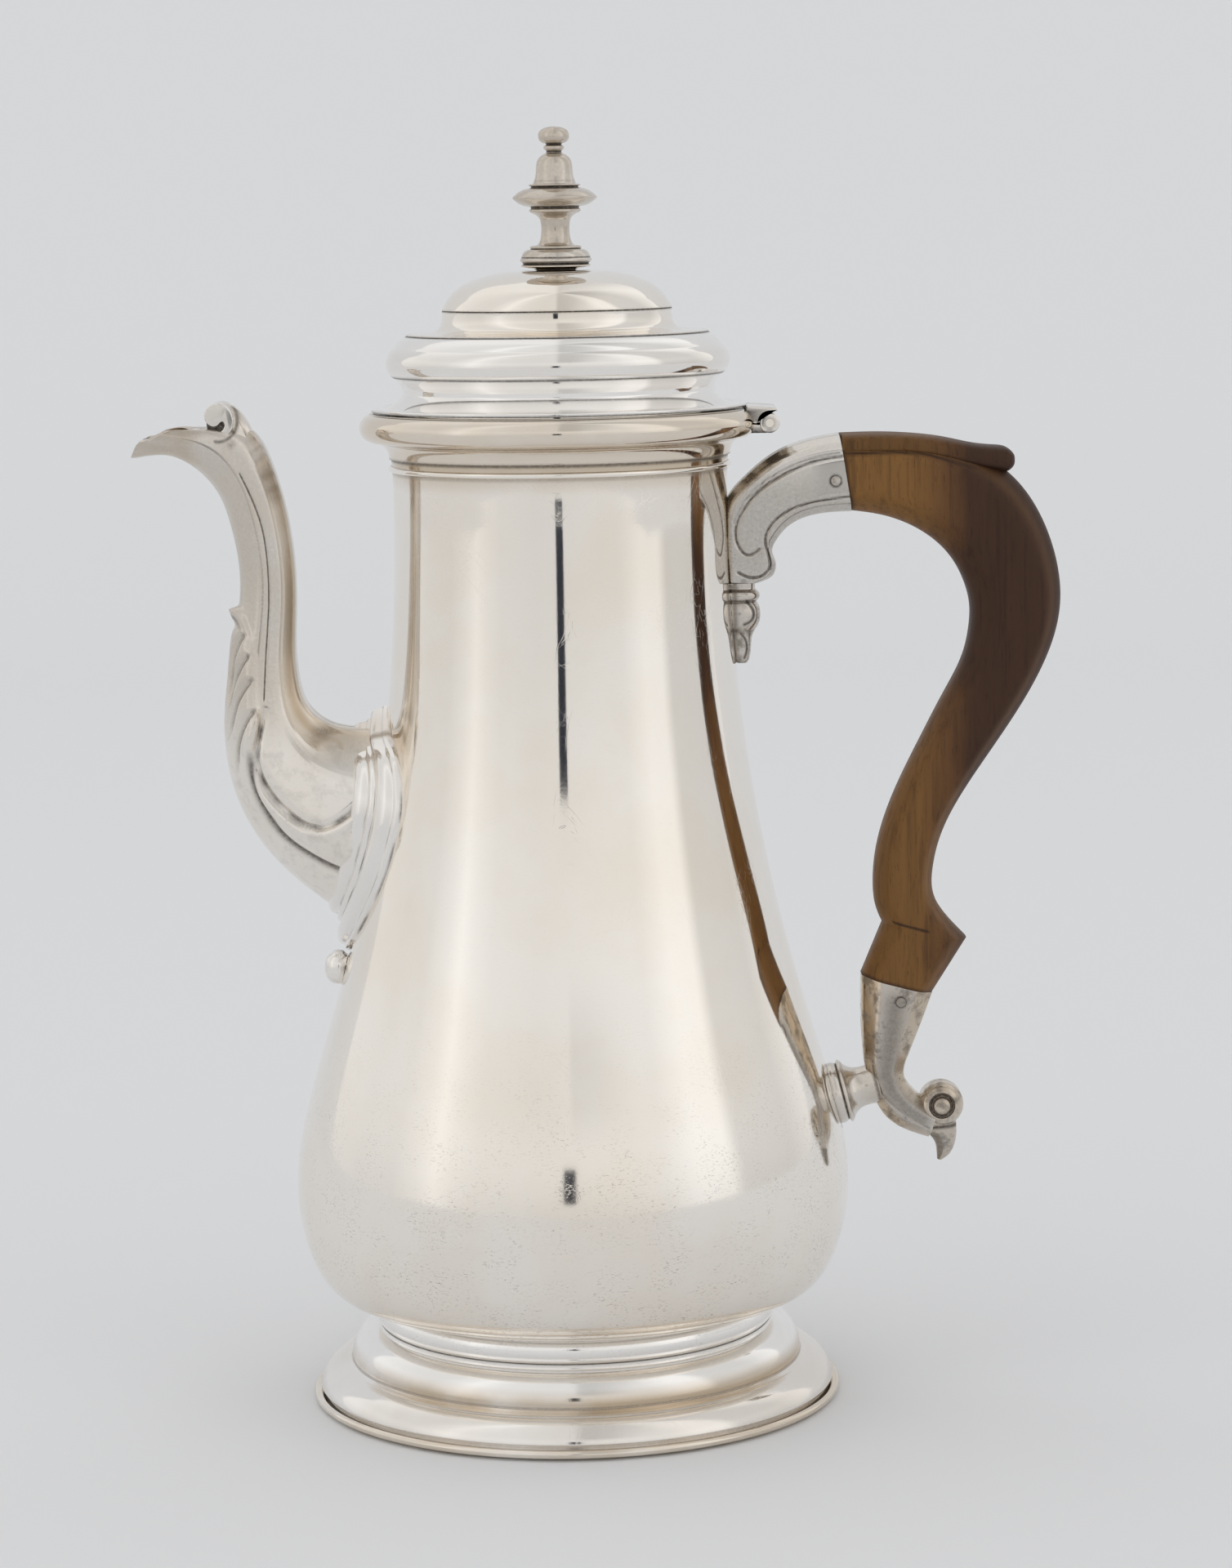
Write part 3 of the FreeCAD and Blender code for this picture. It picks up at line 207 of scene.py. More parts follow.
def beside(places: np.ndarray, line: np.ndarray) -> tuple[np.ndarray, np.ndarray]:
    """Measure places against a line in the side view.

    Args:
        places: Points, one per row.
        line: The line's points in order, one per row.

    Returns:
        How far each place lies from the line, positive on its left, and how far along the line it is nearest.
    """
    if len(places) > MOST_PLACES:
        halves = [beside(half, line) for half in np.array_split(places, 2)]
        return np.concatenate([half[0] for half in halves]), np.concatenate([half[1] for half in halves])
    start, step = line[:-1], np.diff(line, axis=0)
    reach = np.linalg.norm(step, axis=1)
    offset = places[:, None, :] - start
    share = np.clip((offset * step).sum(axis=2) / reach**2, 0.0, 1.0)
    gap = np.linalg.norm(offset - share[..., None] * step, axis=2)
    best, rows = gap.argmin(axis=1), np.arange(len(places))
    cross = step[best, 0] * offset[rows, best, 1] - step[best, 1] * offset[rows, best, 0]
    run = np.concatenate([[0.0], np.cumsum(reach)])[best] + share[rows, best] * reach[best]
    return np.where(cross > 0, 1.0, -1.0) * gap[rows, best], run


@dataclass
class Profile:
    """A turned outline in millimetres, given as radius and height above a datum."""

    points: list[Point]
    datum: float = 0.0

    def __post_init__(self) -> None:
        """Lift the first points."""
        self.points = self.lifted(self.points)

    def lifted(self, given: Sequence[Point]) -> list[Point]:
        """Return points with their heights taken from the datum."""
        return [(radius, self.datum + height) for radius, height in given]

    def line(self, *ends: Point) -> "Profile":
        """Go on straight to each point in turn."""
        self.points.extend(self.lifted(ends))
        return self

    def arc(self, via: Point, end: Point, steps: int = 14) -> "Profile":
        """Go on by a circular arc.

        Args:
            via: A point on the arc.
            end: The arc's end.
            steps: How many stretches to draw it in.

        Returns:
            This profile.
        """
        (ax, ay), (bx, by), (cx, cy) = corners = [self.points[-1], *self.lifted([via, end])]
        twice = 2 * (ax * (by - cy) + bx * (cy - ay) + cx * (ay - by))
        squares = ax * ax + ay * ay, bx * bx + by * by, cx * cx + cy * cy
        x = (squares[0] * (by - cy) + squares[1] * (cy - ay) + squares[2] * (ay - by)) / twice
        y = (squares[0] * (cx - bx) + squares[1] * (ax - cx) + squares[2] * (bx - ax)) / twice
        radius = math.hypot(ax - x, ay - y)
        start, middle, last = (math.atan2(q - y, p - x) for p, q in corners)
        sweep = (last - start) % math.tau
        if (middle - start) % math.tau > sweep:
            sweep -= math.tau
        for share in np.linspace(0.0, 1.0, steps + 1)[1:]:
            angle = start + sweep * share
            self.points.append((x + radius * math.cos(angle), y + radius * math.sin(angle)))
        return self

    def curve(self, poles: Sequence[Point], steps: int) -> "Profile":
        """Go on by a B-spline from the present point towards the given poles, ending on the last."""
        self.points.extend(map(tuple, bspline([self.points[-1], *self.lifted(poles)], steps + 1)[1:]))
        return self

    def drawn(self, edge: float, longest: float) -> np.ndarray:
        """Return the outline with softened edges, as rows of radius and height."""
        return resampled(softened(np.array(self.points, float), edge, False), longest)


# Meshes


@dataclass
class Skin:
    """A surface of rows and columns of points in millimetres, with values that its finish reads."""

    points: np.ndarray
    wrap_rows: bool = False
    wrap_columns: bool = True
    close_first: bool = False
    close_last: bool = False
    values: dict[str, np.ndarray] = field(default_factory=dict)

    @property
    def x(self) -> np.ndarray:
        """Towards the handle."""
        return self.points[..., 0]

    @property
    def y(self) -> np.ndarray:
        """Across the pot."""
        return self.points[..., 1]

    @property
    def z(self) -> np.ndarray:
        """Up."""
        return self.points[..., 2]

    def side_view(self) -> np.ndarray:
        """Return the points as the side view shows them, one per row."""
        return self.points[..., [0, 2]].reshape(-1, 2)

    def away_from(self, line: np.ndarray) -> np.ndarray:
        """Return how far each point lies from a line in the side view."""
        return beside(self.side_view(), line)[0].reshape(self.points.shape[:2])

    def stain(self, places: np.ndarray, width: float, strength: float) -> "Skin":
        """Darken the surface near some places.

        Args:
            places: Points in millimetres, one per row.
            width: Distance at which the stain has mostly gone.
            strength: Value at the places themselves.

        Returns:
            This skin.
        """
        flat = self.points.reshape(-1, 3)
        nearest = np.full(len(flat), FAR)
        for place in places:
            nearest = np.minimum(nearest, ((flat - place) ** 2).sum(axis=1))
        return self.add("patina", strength * np.exp(-nearest / width**2).reshape(self.points.shape[:2]))

    def darken_rings(self, rings: Sequence[Ring], datum: float = 0.0) -> "Skin":
        """Darken a turned surface near rings.

        Args:
            rings: The radius, height, width and strength of each.
            datum: Where the heights are measured from.

        Returns:
            This skin.
        """
        radius = np.hypot(self.x, self.y)
        for ring_radius, height, width, strength in rings:
            away = (radius - ring_radius) ** 2 + (self.z - datum - height) ** 2
            self.add("patina", strength * np.exp(-away / width**2))
        return self

    def add(self, name: str, value: np.ndarray | float) -> "Skin":
        """Keep the larger of a stored value and a new one at every point."""
        self.values[name] = np.maximum(self.values.get(name, np.zeros(self.points.shape[:2])), value)
        return self

    def engrave(
        self, line: np.ndarray, depth: float, width: float, strength: float, where: np.ndarray
    ) -> "Skin":
        """Cut a dark line into the two sides of a piece.

        Args:
            line: The line in the side view, one point per row.
            depth: How deep it is cut.
            width: Half its width, about.
            strength: How dark it is.
            where: Which points may be cut.

        Returns:
            This skin.
        """
        cut = np.where(where, bell(self.away_from(line), width), 0.0)
        self.points[..., 1] -= np.sign(self.y) * depth * cut
        return self.add("patina", strength * cut)

    def faces(self) -> list[tuple[int, ...]]:
        """List the quads of the grid, and the end faces where they are closed.

        Returns:
            The places of each face's corners among the points.
        """
        rows, columns = self.points.shape[:2]
        found: list[tuple[int, ...]] = []
        for row in range(rows if self.wrap_rows else rows - 1):
            on = (row + 1) % rows
            for column in range(columns if self.wrap_columns else columns - 1):
                right = (column + 1) % columns
                corners = (row, column), (row, right), (on, right), (on, column)
                found.append(tuple(line * columns + place for line, place in corners))
        if self.close_first:
            found.append(tuple(reversed(range(columns))))
        if self.close_last:
            found.append(tuple(range((rows - 1) * columns, rows * columns)))
        return found


def make_piece(name: str, skins: Sequence[Skin], sharp_degrees: float = 38.0) -> bpy.types.Object:
    """Make one mesh object from skins.

    Args:
        name: The object's name.
        skins: Surfaces that make up the piece.
        sharp_degrees: Angle above which an edge stays sharp.

    Returns:
        The new object, linked to the scene.
    """
    points, faces, start = [], [], 0
    names = sorted({key for skin in skins for key in skin.values})
    values: dict[str, list[np.ndarray]] = {key: [] for key in names}
    for skin in skins:
        flat = skin.points.reshape(-1, 3)
        points.append(flat)
        faces.extend(tuple(start + index for index in face) for face in skin.faces())
        start += len(flat)
        for key in names:
            values[key].append(skin.values.get(key, np.zeros(skin.points.shape[:2])).ravel())
    mesh = bpy.data.meshes.new(name)
    mesh.from_pydata((np.concatenate(points) * MM).tolist(), [], faces)
    for key in names:
        layer = mesh.attributes.new(key, "FLOAT", "POINT")
        layer.data.foreach_set("value", np.concatenate(values[key]).astype(np.float32))
    mesh.validate()
    mesh.update()
    mesh.shade_smooth()
    mesh.set_sharp_from_angle(angle=math.radians(sharp_degrees))
    made = bpy.data.objects.new(name, mesh)
    bpy.context.scene.collection.objects.link(made)
    return made


def lathe(outline: np.ndarray, columns: int) -> Skin:
    """Turn an outline about the upright axis.

    Args:
        outline: Rows of radius and height.
        columns: How many stretches go round.

    Returns:
        The turned surface.
    """
    angle = np.linspace(0.0, math.tau, columns, endpoint=False)
    radius, height = np.maximum(outline[:, :1], LEAST_RADIUS), outline[:, 1:]
    x, y = radius * np.cos(angle), radius * np.sin(angle)
    return Skin(np.stack([x, y, np.broadcast_to(height, x.shape)], axis=-1))


def wheel(outline: np.ndarray, centre: Point, columns: int) -> Skin:
    """Turn an outline about a point of the side view.

    Args:
        outline: Rows of radius and place across.
        centre: The point.
        columns: How many stretches go round.

    Returns:
        The turned surface.
    """
    angle = np.linspace(0.0, math.tau, columns, endpoint=False)
    x = centre[0] + outline[:, :1] * np.cos(angle)
    z = centre[1] + outline[:, :1] * np.sin(angle)
    return Skin(np.stack([x, np.broadcast_to(outline[:, 1:], x.shape), z], axis=-1))


@dataclass(frozen=True)
class Station:
    """One section of a bent bar: outer and inner side-view points and half width."""

    outer: Point
    inner: Point
    half_width: float

    def row(self) -> list[float]:
        """Return the station as one row of numbers."""
        return [*self.outer, *self.inner, self.half_width]


def stations_of(*rows: tuple[float, float, float, float, float]) -> tuple[Station, ...]:
    """Make stations from rows of outer point, inner point and half width."""
    return tuple(Station(row[:2], row[2:4], row[4]) for row in rows)


def section_of(corners: Sequence[Point], reach: float, scale: Point, longest: float) -> np.ndarray:
    """Draw a bar's section from the corners of its right half.

    Args:
        corners: Shares along and across, from the inner side to the outer.
        reach: How far from a corner its rounding starts.
        scale: Size along and across at which the corners are rounded.
        longest: Longest stretch to leave at that size.

    Returns:
        The whole section as shares, one corner per row.
    """
    full = np.array([*corners, *[(along, -across) for along, across in reversed(corners)]], float)
    drawn = softened(full * scale, reach, True)
    return resampled(np.concatenate([drawn, drawn[:1]]), longest)[:-1] / np.array(scale)


def bar(
    stations: Sequence[Station], section: np.ndarray, count: int, smooth: bool = True, inset: float = 0.0
) -> Skin:
    """Run a section through stations.

    Args:
        stations: Where the bar goes, from its first end to its last.
        section: Corners as shares along (inner to outer) and across, one per row.
        count: How many sections to draw.
        smooth: Whether the bar bends smoothly or goes straight between stations.
        inset: How far inside the bar's outside the section lies.

    Returns:
        The bar's surface, with open ends.
    """
    knots = np.array([station.row() for station in stations], float)
    if smooth:
        rows = spline_through(knots, count)
    else:
        shares = np.linspace(0.0, len(knots) - 1.0, count)
        rows = np.stack([np.interp(shares, range(len(knots)), column) for column in knots.T], axis=1)
    outer, inner, half = rows[:, 0:2], rows[:, 2:4], rows[:, 4]
    length = np.linalg.norm(outer - inner, axis=1)
    way = (outer - inner) / length[:, None]
    along = inset + (length - 2 * inset)[:, None] * section[:, 0]
    across = (half - inset)[:, None] * section[:, 1]
    x = inner[:, :1] + way[:, :1] * along
    z = inner[:, 1:] + way[:, 1:] * along
    return Skin(np.stack([x, across, z], axis=-1))


def side_disc(centre: Point, radius: float, half_width: float, rim: float, turns: int) -> Skin:
    """Make a cushion-edged disc that lies across the pot's side view.

    Args:
        centre: Its middle in the side view.
        radius: Its radius.
        half_width: Half its thickness.
        rim: Radius of its rounded rim.
        turns: How many stretches go round.

    Returns:
        The disc's surface.
    """
    outline = np.array([(0.02, -half_width), (radius, -half_width), (radius, half_width), (0.02, half_width)])
    return wheel(resampled(softened(outline, rim, False), 1.0), centre, turns)


def slab(outline: np.ndarray, half_width: float, rim: float) -> Skin:
    """Make a plate that lies across the pot's side view.

    Args:
        outline: Its corners in the side view.
        half_width: Half its thickness.
        rim: Radius of its rounded edges.

    Returns:
        The plate's surface.
    """
    drawn = softened(outline, 0.8, True)
    drawn = resampled(np.concatenate([drawn, drawn[:1]]), 0.5)[:-1]
    way = np.roll(drawn, -1, axis=0) - np.roll(drawn, 1, axis=0)
    inward = np.stack([-way[:, 1], way[:, 0]], axis=1) / np.linalg.norm(way, axis=1)[:, None]
    ahead = np.roll(drawn, -1, axis=0)
    if (drawn[:, 0] * ahead[:, 1] - drawn[:, 1] * ahead[:, 0]).sum() < 0:
        inward = -inward
    rows = []
    for turn in np.linspace(0.0, math.pi / 2, 6):
        rows.append((drawn + inward * rim * (1 - math.sin(turn)), half_width - rim * (1 - math.cos(turn))))
    rings = [(ring, -wide) for ring, wide in rows] + [(ring, wide) for ring, wide in reversed(rows)]
    points = [np.stack([ring[:, 0], np.full(len(ring), wide), ring[:, 1]], axis=1) for ring, wide in rings]
    return Skin(np.array(points), close_first=True, close_last=True)


# Shaders


class Term:
    """A shader value that joins into Python expressions."""

    def __init__(self, nodes: "Nodes", socket: bpy.types.NodeSocket) -> None:
        """Keep the socket and the nodes that it belongs to."""
        self.nodes = nodes
        self.socket = socket

    def math(self, operation: str, *others: "Term | float", first: "Term | float | None" = None) -> "Term":
        """Add a Math node, with this value first unless another is given."""
        values = [self, *others] if first is None else [first, self, *others]
        return self.nodes.node("ShaderNodeMath", {"operation": operation, "use_clamp": False}, values)

    def __add__(self, other: "Term | float") -> "Term":
        """Add."""
        return self.math("ADD", other)

    __radd__ = __add__

    def __mul__(self, other: "Term | float") -> "Term":
        """Multiply."""
        return self.math("MULTIPLY", other)

    __rmul__ = __mul__

    def __sub__(self, other: "Term | float") -> "Term":
        """Take away."""
        return self.math("SUBTRACT", other)

    def __rsub__(self, other: "Term | float") -> "Term":
        """Take this away from a number."""
        return self.math("SUBTRACT", first=other)

    def __truediv__(self, other: "Term | float") -> "Term":
        """Divide."""
        return self.math("DIVIDE", other)

    def __abs__(self) -> "Term":
        """Drop the sign."""
        return self.math("ABSOLUTE")

    def most(self, other: "Term | float") -> "Term":
        """Return the larger of two values."""
        return self.math("MAXIMUM", other)

    def least(self, other: "Term | float") -> "Term":
        """Return the smaller of two values."""
        return self.math("MINIMUM", other)

    def step(self, low: float, high: float) -> "Term":
        """Rise smoothly from 0 to 1.

        Args:
            low: Where the result is 0.
            high: Where it is 1, which may be the smaller.

        Returns:
            The risen value.
        """
        settings = {"interpolation_type": "SMOOTHSTEP", "clamp": True}
        inputs = {"Value": self, "From Min": low, "From Max": high}
        return self.nodes.node("ShaderNodeMapRange", settings, inputs)


class Nodes:
    """Builds the nodes of one tree."""

    def __init__(self, tree: bpy.types.NodeTree) -> None:
        """Start with an empty tree."""
        self.tree = tree
        tree.nodes.clear()

    def node(
        self,
        kind: str,
        settings: Mapping[str, object] | None = None,
        inputs: Mapping[str | int, object] | Sequence[object] = (),
        output: str | int = 0,
    ) -> Term:
        """Add a node.

        Args:
            kind: The node's type.
            settings: Its own properties, and a ramp's stops, which are set first.
            inputs: Values or links of its sockets, by name or in order.
            output: Which of its results to return.

        Returns:
            The result as a value for expressions.
        """
        made = self.tree.nodes.new(kind)
        for key, value in (settings or {}).items():
            if key == "stops":
                self.set_stops(made.color_ramp, value)
            else:
                setattr(made, key, value)
        pairs = inputs.items() if isinstance(inputs, Mapping) else enumerate(inputs)
        for key, value in pairs:
            self.feed(made.inputs[key], value)
        return Term(self, made.outputs[output])

    def feed(self, socket: bpy.types.NodeSocket, value: object) -> None:
        """Link a value to a socket, or set the socket to a number or colour.

        Args:
            socket: Where the value goes.
            value: A term, a number, a vector or a colour.
        """
        if isinstance(value, Term):
            self.tree.links.new(value.socket, socket)
        elif isinstance(value, (tuple, list)) and socket.type == "RGBA":
            socket.default_value = (*value[:3], 1.0)
        else:
            socket.default_value = value

    @staticmethod
    def set_stops(ramp: bpy.types.ColorRamp, stops: Sequence[tuple[float, Colour]]) -> None:
        """Give a ramp its stops.

        Args:
            ramp: The ramp of a new node.
            stops: Place and colour of each stop, in order.
        """
        while len(ramp.elements) < len(stops):
            ramp.elements.new(1.0)
        for element, (at, colour) in zip(ramp.elements, stops):
            element.position = at
            element.color = (*colour, 1.0)

    def place(self) -> Term:
        """Return the point's place in the pot's frame, in metres."""
        return self.node("ShaderNodeTexCoord", output="Object")

    def axis(self, place: Term, name: str) -> Term:
        """Return one of a place's X, Y and Z."""
        return self.node("ShaderNodeSeparateXYZ", None, [place], output=name)

    def stretched(self, place: Term, turn: Place, scale: Place) -> Term:
        """Turn and stretch a place before it goes to a texture."""
        inputs = {"Vector": place, "Rotation": turn, "Scale": scale}
        return self.node("ShaderNodeMapping", {"vector_type": "POINT"}, inputs)

    def noise(self, place: Term, scale: float, detail: float = 2.0, rough: float = 0.5) -> Term:
        """Return smooth noise from 0 to 1."""
        inputs = {"Vector": place, "Scale": scale, "Detail": detail, "Roughness": rough}
        return self.node("ShaderNodeTexNoise", {"noise_dimensions": "3D"}, inputs)

    def stored(self, name: str) -> Term:
        """Return a value that the mesh holds."""
        return self.node("ShaderNodeAttribute", {"attribute_name": name}, output="Fac")

    def mix(self, share: Term, first: object, second: object) -> Term:
        """Mix two colours."""
        settings = {"data_type": "RGBA", "clamp_factor": True}
        return self.node("ShaderNodeMix", settings, {0: share, 6: first, 7: second}, output=2)

    def bump(self, height: Term, distance: float, under: Term | None = None) -> Term:
        """Turn a height into a surface normal.

        Args:
            height: Height from 0 to 1.
            distance: What a height of 1 stands for, in metres.
            under: Normal of the relief below this one.

        Returns:
            The normal.
        """
        inputs = {"Height": height, "Distance": distance, "Strength": 1.0}
        if under is not None:
            inputs["Normal"] = under
        return self.node("ShaderNodeBump", None, inputs)


class Shader(Nodes):
    """Builds one material's nodes."""

    def __init__(self, name: str) -> None:
        """Start an empty material with one surface shader.

        Args:
            name: The material's name.
        """
        self.material = bpy.data.materials.new(name)
        self.material.use_nodes = True
        super().__init__(self.material.node_tree)
        output = self.tree.nodes.new("ShaderNodeOutputMaterial")
        self.surface = self.tree.nodes.new("ShaderNodeBsdfPrincipled")
        self.tree.links.new(self.surface.outputs["BSDF"], output.inputs["Surface"])

    def finish(self, **inputs: object) -> bpy.types.Material:
        """Feed the surface shader.

        Args:
            inputs: Values of its sockets, named with underscores.

        Returns:
            The finished material.
        """
        for key, value in inputs.items():
            self.feed(self.surface.inputs[key.replace("_", " ").title().replace("Ior", "IOR")], value)
        return self.material


@dataclass(frozen=True)
class SilverFinish:
    """Old polished silver: warm tarnish in clouds, hairline scratches, scuffs low down, dark joints, and the
    painted shade and painted warm reflections that the pieces store.
    """

    name: str
    bright: Colour = (0.945, 0.905, 0.85)
    warm: Colour = (0.88, 0.79, 0.67)
    champagne: Colour = (0.60, 0.48, 0.34)
    dark: Colour = (0.045, 0.034, 0.026)
    tarnish: float = 0.5
    grime: float = 0.0
    rough: float = 0.04
    waviness: float = 0.00003
    scuffed_below: float = 0.10

    def material(self) -> bpy.types.Material:
        """Build the finish.

        Returns:
            The new material.
        """
        shader = Shader(self.name)
        place = shader.place()
        clouds = shader.noise(place, 26.0, 4.0, 0.55)
        grain = shader.noise(place, 1500.0, 2.0, 0.6)
        lines = self.hairlines(shader, place)
        height = shader.axis(place, "Z")
        low = height.step(self.scuffed_below, self.scuffed_below - 0.055)
        rubbing = shader.noise(shader.stretched(place, (0.0, 0.0, 0.0), (0.55, 0.55, 1.3)), 2100.0, 5.0, 0.7)
        patches = shader.noise(place, 120.0, 3.0, 0.6).step(0.38, 0.62) * height.step(0.012, 0.03)
        scuffs = rubbing.step(0.53, 0.71) * (0.03 + 0.62 * low * patches)
        soot = shader.noise(place, 260.0, 5.0, 0.65).step(0.46, 0.68) * self.grime
        # Darkening stored on the pieces: real patina in joints and grooves, and painted shade under and
        # between parts.
        dark_patina_and_shade = (shader.stored("patina") * (0.6 + 0.8 * grain)).least(1.0)
        dirt_and_shade = dark_patina_and_shade.most(scuffs * 0.75).most(soot)
        tint = clouds.step(0.38, 0.72) * self.tarnish
        silver = shader.mix(tint, self.bright, self.warm)
        # The stored tan value warms the silver: tarnish in places, and a painted warm reflection on some
        # faces.
        tarnish_and_reflection_tint = shader.mix(shader.stored("tan") * clouds.step(0.2, 0.55), silver, self.champagne)
        colour = shader.mix(dirt_and_shade, tarnish_and_reflection_tint, self.dark)
        rough = self.rough + 0.03 * clouds + 0.08 * lines + 0.38 * dirt_and_shade + 0.03 * low
        waves = shader.bump(shader.noise(place, 70.0, 1.0, 0.4), self.waviness)
        marks = shader.bump(1 - lines * 0.25 - scuffs - grain * 0.1, 0.000012, waves)
        metal = 1 - dirt_and_shade * 0.45
        return shader.finish(base_color=colour, roughness=rough, metallic=metal, normal=marks)

    @staticmethod
    def hairlines(shader: Shader, place: Term) -> Term:
        """Draw fine crossing scratches from a few wipes in different directions.

        Args:
            shader: The material that they belong to.
            place: The point's place.

        Returns:
            Where they lie, from 0 to 1.
        """
        found: Term | float = 0.0
        for turn, scale in (((0.0, 0.35, 0.3), 240.0), ((0.4, -0.8, 0.0), 300.0), ((0.0, 1.3, -0.3), 210.0)):
            turned = shader.stretched(place, turn, (1.0, 1.0, 1.0))
            drawn_out = shader.stretched(turned, (0.0, 0.0, 0.0), (0.02, 1.0, 1.0))
            streaks = shader.noise(drawn_out, scale, 2.0, 0.5)
            thin = abs(streaks - 0.5).step(0.007, 0.001)
            found = thin.most(found) if isinstance(found, Term) else thin
        gaps = shader.noise(place, 55.0, 2.0, 0.5).step(0.45, 0.65)
        return found * gaps


@dataclass(frozen=True)
class WoodFinish:
    """Satin fruitwood: fine grain along the handle, darker on the bend, paler on worn edges, with a highlight
    painted along them.
    """

    name: str
    tones: tuple[tuple[float, Colour], ...] = (
        (0.058, (0.240, 0.116, 0.032)),
        (0.0775, (0.225, 0.108, 0.030)),
        (0.083, (0.165, 0.077, 0.025)),
        (0.087, (0.100, 0.044, 0.0165)),
        (0.0905, (0.056, 0.0245, 0.0115)),
        (0.112, (0.050, 0.022, 0.0112)),
    )
    streak: Colour = (0.022, 0.009, 0.005)
    # Pale colour of the outer edges: wear, and a painted highlight along the chamfer.
    worn: Colour = (0.34, 0.17, 0.06)

    def stops(self) -> list[tuple[float, Colour]]:
        """Return the tones across the plank as ramp stops."""
        first, last = self.tones[0][0], self.tones[-1][0]
        return [((at - first) / (last - first), colour) for at, colour in self.tones]

    def material(self) -> bpy.types.Material:
        """Build the finish.

        Returns:
            The new material.
        """
        shader = Shader(self.name)
        place = shader.place()
        across = shader.axis(place, "X")
        upright = (0.0, 0.06, 0.0)
        wander = shader.noise(place, 40.0, 3.0, 0.5)
        layers = shader.noise(shader.stretched(place, upright, (1.0, 0.6, 0.10)), 260.0, 3.0, 0.6)
        fibres = shader.noise(shader.stretched(place, upright, (1.0, 1.0, 0.045)), 900.0, 4.0, 0.6)
        pores = shader.noise(shader.stretched(place, upright, (1.0, 1.0, 0.10)), 2600.0, 2.0, 0.6)
        first, last = self.tones[0][0], self.tones[-1][0]
        depth = (across + (wander - 0.5) * 0.006 + (layers - 0.5) * 0.004 - first) / (last - first)
        tone = shader.node("ShaderNodeValToRGB", {"stops": self.stops()}, [depth])
        figured = shader.mix(layers.step(0.45, 0.72) * 0.24, tone, self.streak)
        banded = shader.mix(fibres.step(0.46, 0.72) * 0.36, figured, self.streak)
        flecked = shader.mix(pores.step(0.60, 0.70) * 0.38, banded, self.streak)
        # Pale outer edges: wear, and a painted highlight.
        rubbed_and_highlit_edge = shader.stored("worn") * (0.25 + 0.75 * wander)
        height = shader.axis(place, "Z")
        # Darker towards the bottom of the handle.
        lower_darkening = 0.11 * height.step(0.165, 0.140)
        # Darkening stored on the handle: stains, dark joints and incised lines, and painted shade under the
        # tongue.
        grimy_and_shaded = shader.mix(shader.stored("patina").most(lower_darkening), flecked, self.streak)
        colour = shader.mix(rubbed_and_highlit_edge * 0.20, grimy_and_shaded, self.worn)
        rough = 0.42 + 0.10 * fibres + 0.08 * pores - 0.05 * rubbed_and_highlit_edge
        relief = shader.bump(1 - fibres * 0.5 - pores.step(0.60, 0.72) * 0.5, 0.00003)
        return shader.finish(
            base_color=colour,
            roughness=rough,
            normal=relief,
            specular_ior_level=0.22,
            coat_weight=0.04,
            coat_roughness=0.3,
        )


@dataclass
class Wardrobe:
    """The finishes that the pieces share, each built once."""

    raised: bpy.types.Material = field(default_factory=SilverFinish("raised silver").material)
    clean: bpy.types.Material = field(
        default_factory=SilverFinish(
            "clean silver", (0.96, 0.945, 0.925), (0.91, 0.875, 0.83), tarnish=0.4, rough=0.06
        ).material
    )
    cast: bpy.types.Material = field(
        default_factory=SilverFinish(
            "cast silver", (0.895, 0.865, 0.825), (0.82, 0.755, 0.67),
            grime=0.12, rough=0.085, waviness=0.00005,
        ).material
    )
    worn_cast: bpy.types.Material = field(
        default_factory=SilverFinish(
            "worn cast silver", (0.66, 0.62, 0.57), (0.53, 0.46, 0.38),
            tarnish=0.7, grime=0.58, rough=0.13, waviness=0.00006,
        ).material
    )
    wood: bpy.types.Material = field(default_factory=WoodFinish("satin fruitwood").material)


def dress(piece: bpy.types.Object, finish: bpy.types.Material, body: Rigid, slot: Slot, *nodes: str) -> None:
    """Give a new piece its finish and its place in the frame.

    Args:
        piece: The new mesh.
        finish: Its material.
        body: The body that it rides on.
        slot: Not used.
        nodes: The frame's nodes that it stands for.
    """
    piece.data.materials.append(finish)
    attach(piece, body.value)
    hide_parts(*nodes)
    log.info("%s stands for %s on %s", piece.name, ", ".join(nodes), body.value)


def dress_node(node: str, finish: bpy.types.Material) -> None:
    """Give a node of the frame its finish.

    Args:
        node: The node's name.
        finish: Its material.
    """
    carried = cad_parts[node]
    carried.data.materials.clear()
    carried.data.materials.append(finish)
    log.info("%s keeps its own solid", node)


# The pot


